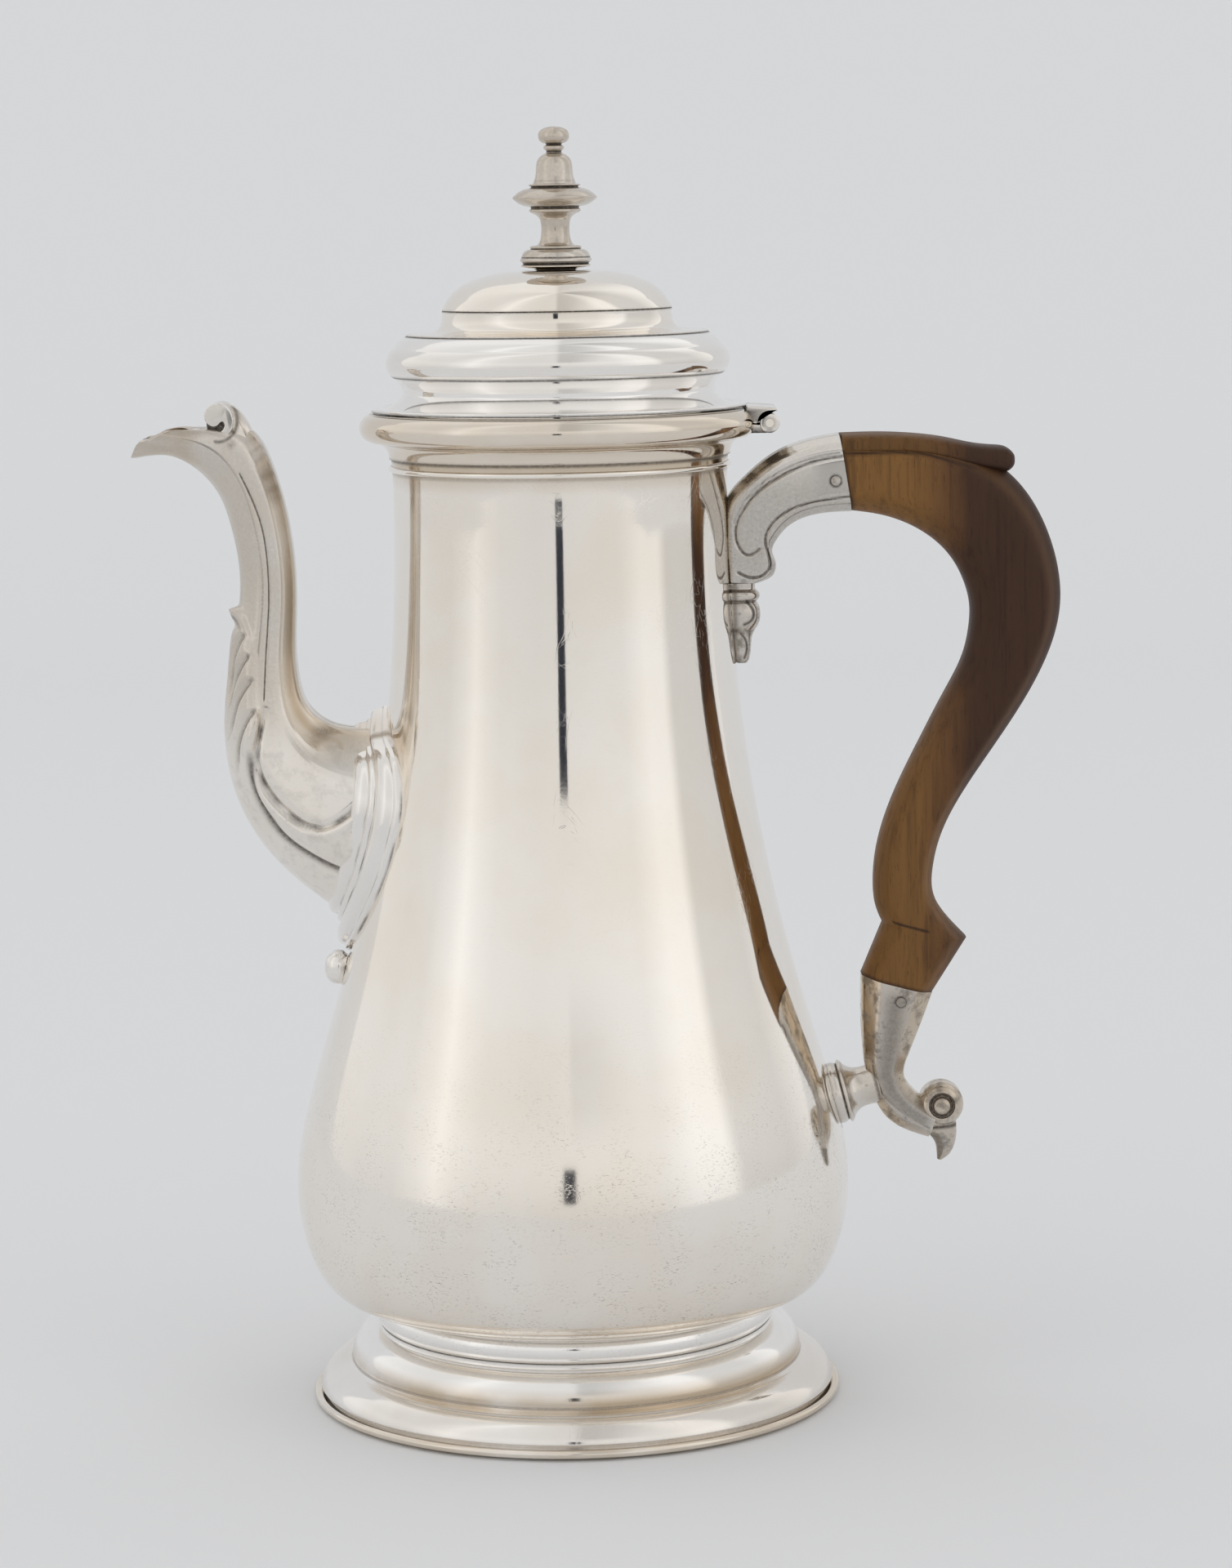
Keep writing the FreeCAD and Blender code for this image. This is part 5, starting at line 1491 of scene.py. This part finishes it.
    def mount(self) -> None:
        """Lay the stepped mount on the body, each step a soft roll between fine lines."""
        base = self.vessel.base
        rows = []
        for stand, half_width in self.steps:
            inward = (self.steps[0][1] - half_width) / (self.steps[0][1] - self.steps[-1][1])
            heights = [base + height + change * inward for height, change in self.shield_heights]
            ring = self.shield(half_width, *heights)
            reach = self.vessel.radius_at(ring[:, 1]) + stand
            x = -np.sqrt(np.maximum(reach**2 - ring[:, 0] ** 2, 1.0))
            rows.append(np.stack([x, ring[:, 0], ring[:, 1]], axis=1))
        knots = np.array(rows)
        between = [np.linspace(start, end, 5)[:-1] for start, end in zip(knots[:-1], knots[1:])]
        fine = np.concatenate([*between, knots[-1:]])
        skin = Skin(self.relaxed(fine, 2))
        columns = np.arange(fine.shape[1])
        for index, strength in self.mount_lines:
            near = bell(np.arange(len(fine)) - index, 1.25)
            patchy = 0.5 + 0.5 * np.sin(columns * 0.37 + index) * np.sin(columns * 0.083 + 2.0 * index)
            low = 0.3 + 0.7 * ramp(fine[..., 2], 146.0, 134.0)
            broken = np.clip(1.5 * patchy - 0.2, 0.0, 1.0)
            skin.add("patina", strength * low * near[:, None] * broken[None, :])
        height = skin.z
        skin.add("tan", 0.3 * bell(height - base - 129.5, 3.5))
        turn = np.minimum(columns, fine.shape[1] - columns)
        shoulder = np.broadcast_to(bell(turn - 13.0, 1.6), height.shape)
        skin.add("patina", 0.05 + 0.35 * shoulder).add("tan", 0.06 + 0.7 * shoulder)
        piece = make_piece("stepped_mount", [skin], 60.0)
        dress(piece, self.finishes.clean, Rigid.POT, Slot.CAST, "spout_mount")

    @staticmethod
    def relaxed(rows: np.ndarray, times: int) -> np.ndarray:
        """Ease the rows of a surface towards their neighbours, keeping its ends.

        Args:
            rows: The rows, which are changed.
            times: How often they are eased.

        Returns:
            The same rows.
        """
        for _ in range(times):
            rows[1:-1] = 0.5 * rows[1:-1] + 0.25 * (rows[:-2] + rows[2:])
        return rows

    def bead(self) -> None:
        """Hang the bead below the mount's point."""
        outline = Profile([(0.0, -3.9)])
        outline.curve([(3.3, -3.9), (3.5, 2.6), (1.1, 3.0), (1.4, 3.8), (0.0, 3.9)], 30)
        skin = lathe(outline.drawn(0.1, 0.8), 48)
        skin.points += np.array([self.bead_x, 0.0, self.vessel.base + self.bead_height])
        self.vessel.hug(skin)
        skin.stain(both_sides((-50.6, 0.0, 102.2), (-50.4, 2.4, 98.6), (-52.0, 0.0, 101.6)), 0.9, 0.8)
        piece = make_piece("hanging_bead", [skin])
        dress(piece, self.finishes.cast, Rigid.POT, Slot.CAST, "spout_drop")


@dataclass
class Handle:
    """The wooden handle, the cast sockets that hold it and their pins."""

    finishes: Wardrobe
    vessel: Vessel
    upper_joint: Station = Station((61.9, 216.9), (64.5, 199.8), 8.2)
    lower_joint: Station = Station((81.7, 90.9), (65.8, 95.2), 7.8)
    wood: tuple[Station, ...] = stations_of(
        (75.4, 216.8, 72.7, 198.3, 8.6), (89.1, 213.8, 81.3, 194.2, 9.0),
        (100.5, 206.8, 87.1, 188.4, 9.2), (108.1, 194.8, 90.1, 182.0, 9.2),
        (111.0, 179.8, 90.9, 175.8, 9.2), (107.8, 166.4, 89.5, 167.8, 9.0),
        (99.0, 151.0, 84.7, 158.0, 8.8), (91.2, 139.7, 78.8, 146.8, 8.4),
        (84.7, 128.5, 72.5, 133.5, 8.2), (82.1, 119.3, 69.1, 121.2, 8.2),
        (82.8, 111.6, 68.9, 112.2, 8.2), (89.5, 103.2, 70.7, 106.8, 8.4),
    )
    upper: tuple[Station, ...] = stations_of(
        (54.7, 215.6, 56.6, 199.2, 7.7), (47.0, 212.4, 50.6, 196.7, 6.7),
        (41.0, 207.6, 47.6, 193.2, 5.7), (36.8, 202.4, 46.9, 190.9, 5.2),
        (36.0, 197.2, 47.5, 189.1, 5.0), (36.0, 191.8, 47.6, 187.2, 4.9),
        (36.4, 187.2, 46.4, 185.2, 4.8), (36.8, 184.4, 43.8, 184.1, 4.6),
    )
    upper_lines: tuple[tuple[Point, ...], ...] = (
        (
            (62.3, 212.2), (56.9, 211.3), (49.6, 208.4), (44.1, 204.9), (40.5, 200.4), (38.9, 196.9),
            (38.8, 194.2), (39.6, 192.0), (41.2, 190.5), (42.6, 190.8), (44.0, 191.8),
        ),
        (
            (64.1, 203.3), (56.8, 202.3), (51.4, 200.8), (47.8, 198.5), (46.0, 196.2), (45.3, 194.0),
            (45.7, 191.8), (46.3, 189.4), (46.3, 187.6), (45.3, 186.3), (43.6, 185.5), (41.2, 185.6),
            (39.2, 186.6),
        ),
    )
    lower: tuple[Station, ...] = stations_of(
        (79.1, 83.8, 65.7, 86.0, 7.0), (76.4, 76.9, 66.0, 78.4, 5.8),
        (75.2, 72.9, 66.6, 72.9, 5.2), (75.9, 70.0, 68.2, 67.4, 4.9),
        (78.0, 67.6, 71.0, 62.4, 4.8), (80.6, 65.4, 75.6, 59.2, 4.7),
        (82.8, 64.0, 80.6, 57.4, 4.6),
    )
    parting: tuple[Point, ...] = (
        (62.0, 212.6), (72.0, 212.9), (81.2, 212.2), (89.2, 209.9), (92.8, 209.0), (96.6, 207.8),
    )
    tongue_rows: tuple[tuple[float, float, float, float], ...] = (
        (62.4, 216.9, 212.4, 8.1), (70.0, 217.0, 212.4, 8.3), (78.0, 216.6, 212.2, 8.2),
        (86.0, 215.5, 210.6, 7.9), (92.0, 214.2, 208.9, 7.3), (96.5, 213.7, 208.1, 6.7),
        (99.0, 213.3, 207.9, 6.0), (100.4, 212.2, 208.8, 4.8), (100.95, 211.1, 210.0, 2.2),
    )
    inner_edge_band: tuple[Point, ...] = (
        (73.0, 89.0), (72.2, 82.0), (71.4, 76.0), (71.0, 72.0), (72.4, 68.4), (76.0, 64.6), (79.0, 62.4),
    )
    curl: Point = (83.6, 65.0)
    ball_half: tuple[Point, ...] = (
        (0.02, 5.3), (1.3, 5.3), (1.9, 4.9), (2.0, 3.9), (2.75, 3.9), (2.9, 4.5), (3.3, 4.6), (4.3, 3.9),
        (5.0, 2.4),
    )
    upper_pin: Point = (60.9, 206.8)
    lower_pin: Point = (74.3, 89.5)
    pin_radius: float = 1.2
    tongue_power: float = 0.55
    pendant_x: float = 39.8
    pendant_power: float = 2.5
    boss_tilt: float = 76.0
    boss_place: Place = (59.6, 0.0, 67.5)

    def build(self) -> None:
        """Make the handle, its sockets and their pins."""
        self.grip()
        self.upper_socket()
        self.pendant()
        self.lower_socket()
        self.boss()
        self.pins()

    def grip(self) -> None:
        """Carve the wooden handle with its tongue on top and its kick below."""
        section = section_of([(0, 0.42), (0.22, 1), (0.8, 1), (1, 0.42)], 2.4, (19.0, 9.0), 0.6)
        bend = bar([self.upper_joint, *self.wood], section, 320)
        block = bar([self.wood[-1], self.lower_joint], section, 40, smooth=False)
        flat = (abs(section[:, 1]) > 0.8)[None, :]
        crease = spline_through([(69.0, 108.9), (72.0, 107.9), (76.0, 106.8), (80.4, 105.6)], 30)
        for skin in (bend, block):
            # A pale band along the outer chamfer, stored as worn: wear, and a painted highlight.
            edge = bell(section[:, 0] - 0.87, 0.05) * (abs(section[:, 1]) > 0.4)
            skin.add("worn", edge[None, :])
            skin.engrave(crease, 0.3, 0.35, 0.9, flat)
            skin.engrave(spline_through(self.parting, 60), 0.35, 0.4, 0.9, flat)
            self.darken_top(skin)
        bend.stain(bend.points[0], 0.7, 0.85)
        block.stain(block.points[-1], 0.7, 0.85)
        block.close_last = True
        bend.close_first = True
        piece = make_piece("carved_handle", [bend, block, self.tongue()], 50.0)
        dress(piece, self.finishes.wood, Rigid.POT, Slot.WOOD, "handle")

    def tongue(self) -> Skin:
        """Lay the carved tongue along the top of the handle, with its blunt tip curled free.

        Returns:
            The tongue's surface.
        """
        drawn = spline_through(self.tongue_rows, 80)
        angle = np.linspace(0.0, math.tau, 48, endpoint=False)
        middle, half = (drawn[:, 1] + drawn[:, 2]) / 2, (drawn[:, 1] - drawn[:, 2]) / 2
        up, out = (np.sign(turn) * abs(turn) ** self.tongue_power for turn in (np.sin(angle), np.cos(angle)))
        z = middle[:, None] + half[:, None] * up
        y = drawn[:, 3:] * out
        x = np.broadcast_to(drawn[:, :1], z.shape)
        skin = Skin(np.stack([x, y, z], axis=-1), close_first=True, close_last=True)
        # Painted shade: the tongue's underside is darkened where it overhangs the handle.
        skin.add("patina", 0.6 * bell(up + 0.75, 0.3)[None, :])
        self.darken_top(skin)
        return skin

    def darken_top(self, skin: Skin) -> None:
        """Darken the pale end of the wood above the line where the tongue parts from the handle.

        Args:
            skin: The surface to change.
        """
        x, height = skin.x, skin.z
        line = np.array(self.parting)
        above = ramp(height - np.interp(x, line[:, 0], line[:, 1]), 0.0, 0.8)
        skin.add("patina", 0.38 * above * ramp(x, 90.0, 78.0))

    def upper_socket(self) -> None:
        """Cast the upper socket, lined along its edges and ended in a volute."""
        corners = [(0, 0.55), (0.12, 0.94), (0.2, 1), (0.84, 1), (0.92, 0.9), (1, 0.5)]
        section = section_of(corners, 0.7, (17.0, 7.5), 0.36)
        sleeve = bar([self.upper_joint, *self.upper], section, 330)
        sleeve.close_first = sleeve.close_last = True
        flat = (abs(section[:, 1]) > 0.86)[None, :]
        for line, depth in zip(self.upper_lines, (0.45, 0.5)):
            sleeve.engrave(spline_through(line, 120), depth, 0.36, 0.85, flat)
        upper = np.array(self.upper_lines[0][:6]) + np.array([-0.55, 0.75])
        sleeve.engrave(spline_through(upper, 60), 0.25, 0.28, 0.6, flat)
        # Painted reflection: the saddle's top facet is darkened and warmed for the dark, brownish reflection
        # it shows.
        saddle = ramp(sleeve.x, 51.0, 50.2) * (section[:, 0] > 0.9)[None, :]
        sleeve.add("patina", 0.45 * saddle).add("tan", 0.9 * saddle)
        sleeve.add("patina", 0.16 + 0.2 * ramp(sleeve.z, 211.0, 204.0))
        self.vessel.hug(sleeve)
        z = np.arange(183.5, 206.0, 0.8)
        x = np.sqrt(np.maximum(self.vessel.radius_at(z) ** 2 - 5.2**2, 1.0))
        sleeve.stain(both_sides(*zip(x, np.full(len(z), 5.2), z)), 1.6, 0.6)
        sleeve.stain(both_sides((40.4, 5.0, 184.2)), 1.4, 0.7)
        self.ring_pin(sleeve, self.upper_pin, 8.0)
        piece = make_piece("cast_upper_socket", [sleeve], 45.0)
        dress(piece, self.finishes.cast, Rigid.POT, Slot.CAST, "upper_socket")

    @staticmethod
    def ring_pin(skin: Skin, centre: Point, half_width: float) -> None:
        """Darken the seat of a pin on both sides of a socket.

        Args:
            skin: The socket's surface.
            centre: The pin's place in the side view.
            half_width: Half the socket's width there.
        """
        angle = np.linspace(0.0, math.tau, 28, endpoint=False)
        x, z = centre[0] + 1.25 * np.cos(angle), centre[1] + 1.25 * np.sin(angle)
        ring = np.stack([x, np.zeros(len(x)), z], axis=1)
        for side in (-half_width, half_width):
            skin.stain(ring + np.array([0.0, side, 0.0]), 0.42, 0.95)

    def pendant(self) -> None:
        """Turn the pendant below the volute, with flattened and outlined sides."""
        outline = Profile([(0.0, 166.0), (1.2, 166.0), (1.7, 166.7)])
        swelling = [(2.2, 168.0), (2.2, 171.0), (2.7, 173.0), (4.2, 174.6), (4.7, 177.4), (4.1, 179.4)]
        outline.curve([*swelling, (3.5, 179.9)], 44)
        outline.line((3.9, 180.2)).arc((4.4, 181.2), (3.9, 182.2), 10)
        outline.line((3.3, 182.7), (3.4, 184.2), (0.0, 184.2))
        skin = lathe(outline.drawn(0.3, 0.35), 128)
        angle = np.arctan2(skin.y, skin.x)
        power = self.pendant_power
        square = 1 / (abs(np.cos(angle)) ** power + abs(np.sin(angle)) ** power) ** (1 / power)
        skin.points[..., :2] *= square[..., None] * 0.97
        skin.points += np.array([self.pendant_x, 0.0, 0.0])
        contour = [(40.9, 180.1), (42.2, 178.6), (42.6, 176.9), (41.8, 175.6), (40.4, 174.9)]
        face = abs(skin.y) > 1.2
        skin.engrave(spline_through(contour, 40), 0.25, 0.32, 0.9, face)
        tail = [(39.6, 172.8), (40.6, 171.4), (40.9, 168.6), (40.4, 167.2)]
        skin.engrave(spline_through(tail, 30), 0.2, 0.32, 0.85, face)
        skin.engrave(np.array([(36.0, 180.0), (45.0, 180.0)]), 0.1, 0.28, 0.6, face)
        self.vessel.hug(skin)
        skin.add("patina", 0.55 * bell(skin.x - 38.4, 0.7))
        skin.stain(both_sides((38.6, 2.6, 173.6)), 1.2, 0.85)
        piece = make_piece("turned_pendant", [skin])
        dress(piece, self.finishes.worn_cast, Rigid.POT, Slot.CAST, "upper_pendant")

    def lower_socket(self) -> None:
        """Cast the lower socket, with its curl, eye and beak."""
        corners = [(0, 0.42), (0.25, 0.95), (0.3, 1.0), (0.68, 1.0), (1, 0.42)]
        section = section_of(corners, 0.7, (12.0, 6.2), 0.4)
        sleeve = bar([self.lower_joint, *self.lower], section, 240)
        sleeve.close_first = sleeve.close_last = True
        flat = (abs(section[:, 1]) > 0.75)[None, :]
        border = [(68.0, 74.6), (68.7, 70.8), (71.0, 67.0), (75.6, 63.0), (80.6, 59.9)]
        sleeve.engrave(spline_through(border, 60), 0.22, 0.35, 0.5, flat)
        # Darker along the inner edge of the socket's sides.
        x, z = resampled(np.array(self.inner_edge_band), 0.8).T
        reach = np.interp(z, [62.0, 72.0, 78.0, 90.0], [4.7, 5.2, 6.0, 7.6])
        sleeve.stain(both_sides(*zip(x, reach, z)), 2.6, 0.5)
        sleeve.add("tan", (0.75 * (section[:, 0] < 0.22) + 0.45 * (section[:, 0] > 0.75))[None, :])
        self.ring_pin(sleeve, self.lower_pin, 7.7)
        sleeve.stain(both_sides((79.2, 4.4, 66.0)), 2.0, 0.9)
        piece = make_piece("cast_lower_socket", [sleeve, self.curled_ball(), self.beak()], 45.0)
        dress(piece, self.finishes.worn_cast, Rigid.POT, Slot.CAST, "lower_socket")

    def curled_ball(self) -> Skin:
        """Turn the curl's ball, with a dark ring sunk round a bright eye on each side.

        Returns:
            The ball's surface.
        """
        half = np.array(self.ball_half)
        outline = np.concatenate([half * (1.0, -1.0), half[::-1]])
        drawn = resampled(softened(outline, 0.5, False), 0.5)
        skin = wheel(drawn, self.curl, 72)
        ring = 0.98 * bell(drawn[:, :1] - 2.4, 0.42) * (abs(drawn[:, 1:]) < 4.8)
        skin.add("patina", ring).add("tan", np.where(drawn[:, :1] < 1.9, 0.6, 0.5))
        return skin.stain(both_sides((80.8, 3.6, 60.6)), 1.8, 0.8)

    @staticmethod
    def beak() -> Skin:
        """Hook the beak below the curl.

        Returns:
            The beak's surface.
        """
        rows = stations_of(
            (87.0, 61.4, 76.6, 60.6, 3.8), (87.1, 58.4, 80.2, 58.4, 3.5), (86.7, 55.6, 82.1, 56.1, 2.9),
            (85.5, 53.2, 82.6, 54.0, 2.1), (83.7, 51.75, 82.7, 52.0, 0.9),
        )
        section = section_of([(0, 0.5), (0.25, 1), (0.75, 1), (1, 0.5)], 1.5, (6.0, 2.6), 0.5)
        skin = bar(rows, section, 60)
        skin.close_first = skin.close_last = True
        row = np.arange(len(skin.points))[:, None]
        shaded = 0.45 * (row > 18) * (section[:, 0] < 0.42)
        return skin.add("patina", np.maximum(0.85 * bell(row - 8.0, 4.0), 0.12 + shaded)).add("tan", 0.6)

    def boss(self) -> None:
        """Turn the boss that stands the lower socket off the belly."""
        outline = Profile([(0.0, -5.0), (6.9, -5.0), (6.9, -0.4)]).arc((7.0, 0.6), (6.6, 1.6), 8)
        outline.line((6.4, 1.8), (7.2, 2.1), (7.2, 2.6), (6.7, 2.9)).arc((5.3, 4.1), (4.5, 6.2), 12)
        outline.arc((4.5, 8.2), (5.0, 10.2), 8).line((0.0, 10.3))
        skin = lathe(outline.drawn(0.3, 0.5), 88)
        skin.darken_rings([(6.5, 1.75, 0.26, 0.85), (6.6, 3.0, 0.24, 0.7)])
        skin.darken_rings([(4.9, 9.6, 0.5, 0.75), (7.0, -1.2, 0.5, 0.6)])
        skin.add("patina", 0.16).add("tan", 0.3)
        turn = Matrix.Rotation(math.radians(self.boss_tilt), 3, "Y")
        skin.points = skin.points @ np.array(turn).T + np.array(self.boss_place)
        self.vessel.hug(skin)
        dress(make_piece("turned_boss", [skin]), self.finishes.cast, Rigid.POT, Slot.CAST, "lower_boss")

    def pins(self) -> None:
        """Drive the pins through the sockets."""
        for name, node, centre, half, dulled in (
            ("upper_rivet", "upper_pin", self.upper_pin, 8.3, 0.05),
            ("lower_rivet", "lower_pin", self.lower_pin, 7.9, 0.45),
        ):
            skin = side_disc(centre, self.pin_radius, half, 0.5, 28)
            radius = np.hypot(skin.x - centre[0], skin.z - centre[1])
            skin.add("patina", bell(radius - self.pin_radius, 0.18)).add("patina", dulled)
            dress(make_piece(name, [skin]), self.finishes.worn_cast, Rigid.POT, Slot.RAISED, node)


# The studio


@dataclass
class Studio:
    """Plain pale sweep, soft even light and the camera."""

    ground: Colour = (0.885, 0.897, 0.918)
    eye: Place = (11.25, -955.8, 268.5)
    pitch: float = 7.71
    roll: float = 1.0
    lens: float = 98.6
    sensor: float = 36.0
    nearest_and_farthest: Point = (0.05, 20.0)
    floor_front: float = -1600.0
    floor_back: float = 1500.0
    backdrop_bend: float = 900.0
    backdrop_top: float = 2600.0
    sweep_half_width: float = 3000.0
    gap_middle: Place = (-12.0, -1010.0, 210.0)
    gap_half_width: float = 42.0
    gap_half_height: float = 90.0
    cloth: tuple[Point, ...] = (
        (-3.14, 0.76), (-2.30, 0.78), (-1.75, 0.70), (-1.40, 0.69), (-1.18, 0.77), (-1.04, 0.86),
        (-0.90, 0.78), (-0.72, 0.72), (-0.30, 0.69), (0.00, 0.70), (0.30, 0.72), (0.70, 0.74), (0.98, 0.86),
        (1.21, 0.86), (1.33, 0.63), (1.85, 0.62), (2.30, 0.84), (2.55, 0.84), (3.14, 0.76),
    )

    def build(self) -> None:
        """Set the view, the sweep, the light and the camera."""
        bpy.context.scene.view_settings.view_transform = "Standard"
        self.sweep()
        self.world()
        self.camera_gap()
        self.camera()

    def sweep(self) -> None:
        """Lay the floor and curve it up into the backdrop."""
        angle = np.linspace(0.0, math.pi / 2, 24)
        back, bend = self.floor_back, self.backdrop_bend
        y = np.concatenate([[self.floor_front, 0.0], back + bend * np.sin(angle), [back + bend]])
        z = np.concatenate([[0.0, 0.0], bend * (1 - np.cos(angle)), [self.backdrop_top]])
        x = np.linspace(-self.sweep_half_width, self.sweep_half_width, 3)
        skin = Skin(np.stack(np.broadcast_arrays(x, y[:, None], z[:, None]), axis=-1), wrap_columns=False)
        piece = make_piece("sweep", [skin], 180.0)
        shader = Shader("pale sweep")
        mottle = shader.noise(shader.place(), 2.0, 2.0)
        colour = shader.mix(mottle * 0.15, self.ground, (0.895, 0.9, 0.91))
        piece.data.materials.append(shader.finish(base_color=colour, roughness=0.9, specular_ior_level=0.1))

    def world(self) -> None:
        """Light the room softly, with brighter and darker bands of white cloth round the pot."""
        world = bpy.data.worlds.new("soft room")
        bpy.context.scene.world = world
        world.use_nodes = True
        room = Nodes(world.node_tree)
        output = room.tree.nodes.new("ShaderNodeOutputWorld")
        light = room.tree.nodes.new("ShaderNodeBackground")
        room.tree.links.new(light.outputs[0], output.inputs[0])
        way = room.node("ShaderNodeTexCoord", output="Generated")
        x, y, z = (room.axis(way, name) for name in "XYZ")
        turn = x.math("ARCTAN2", y * -1.0)
        share = turn / math.tau + 0.5
        cloth = room.node("ShaderNodeValToRGB", {"stops": self.cloth_stops()}, [share])
        level = room.node("ShaderNodeSeparateColor", None, [cloth], output="Red")
        above = z.step(0.28, 0.5) * (-0.04 - 0.20 * x.step(-0.02, 0.03) * x.step(0.55, 0.10))
        room.feed(light.inputs["Strength"], level * (1 + 0.16 * z.step(-0.1, 0.3)) + above)
        light.inputs["Color"].default_value = (1.0, 0.995, 0.985, 1.0)

    def cloth_stops(self) -> list[tuple[float, Colour]]:
        """Return the room's brightness round the pot as ramp stops."""
        return [(turn / math.tau + 0.5, (level, level, level)) for turn, level in self.cloth]

    def camera_gap(self) -> None:
        """Stand a narrow dark gap in the white cloth behind the camera."""
        wide, high = self.gap_half_width, self.gap_half_height
        corners = np.array([[(x, 0.0, z) for x in (-wide, wide)] for z in (-high, high)])
        skin = Skin(corners + self.gap_middle, wrap_columns=False)
        piece = make_piece("gap_in_cloth", [skin])
        shader = Shader("dark gap")
        speckle = shader.noise(shader.place(), 20.0)
        colour = shader.mix(speckle, (0.030, 0.034, 0.048), (0.050, 0.055, 0.070))
        piece.data.materials.append(shader.finish(base_color=colour, roughness=1.0, specular_ior_level=0.0))

    def camera(self) -> None:
        """Place the camera at the photograph's viewing angle."""
        data = bpy.data.cameras.new("view")
        data.lens = self.lens
        data.sensor_width = self.sensor
        data.clip_start, data.clip_end = self.nearest_and_farthest
        made = bpy.data.objects.new("view", data)
        tilt = Matrix.Rotation(math.radians(90.0 - self.pitch), 4, "X")
        lean = Matrix.Rotation(math.radians(-self.roll), 4, "Z")
        made.matrix_world = Matrix.Translation(Vector(self.eye) * MM) @ tilt @ lean
        bpy.context.scene.collection.objects.link(made)
        bpy.context.scene.camera = made


def main() -> None:
    """Build every sub-assembly of the pot, then the studio round it."""
    logging.basicConfig(level=logging.INFO, format="%(message)s")
    finishes = Wardrobe()
    vessel = Vessel(finishes)
    for assembly in (vessel, Lid(finishes), Spout(finishes, vessel), Handle(finishes, vessel), Studio()):
        assembly.build()
        log.info("%s is built", type(assembly).__name__)


if __name__ == "__main__":
    main()
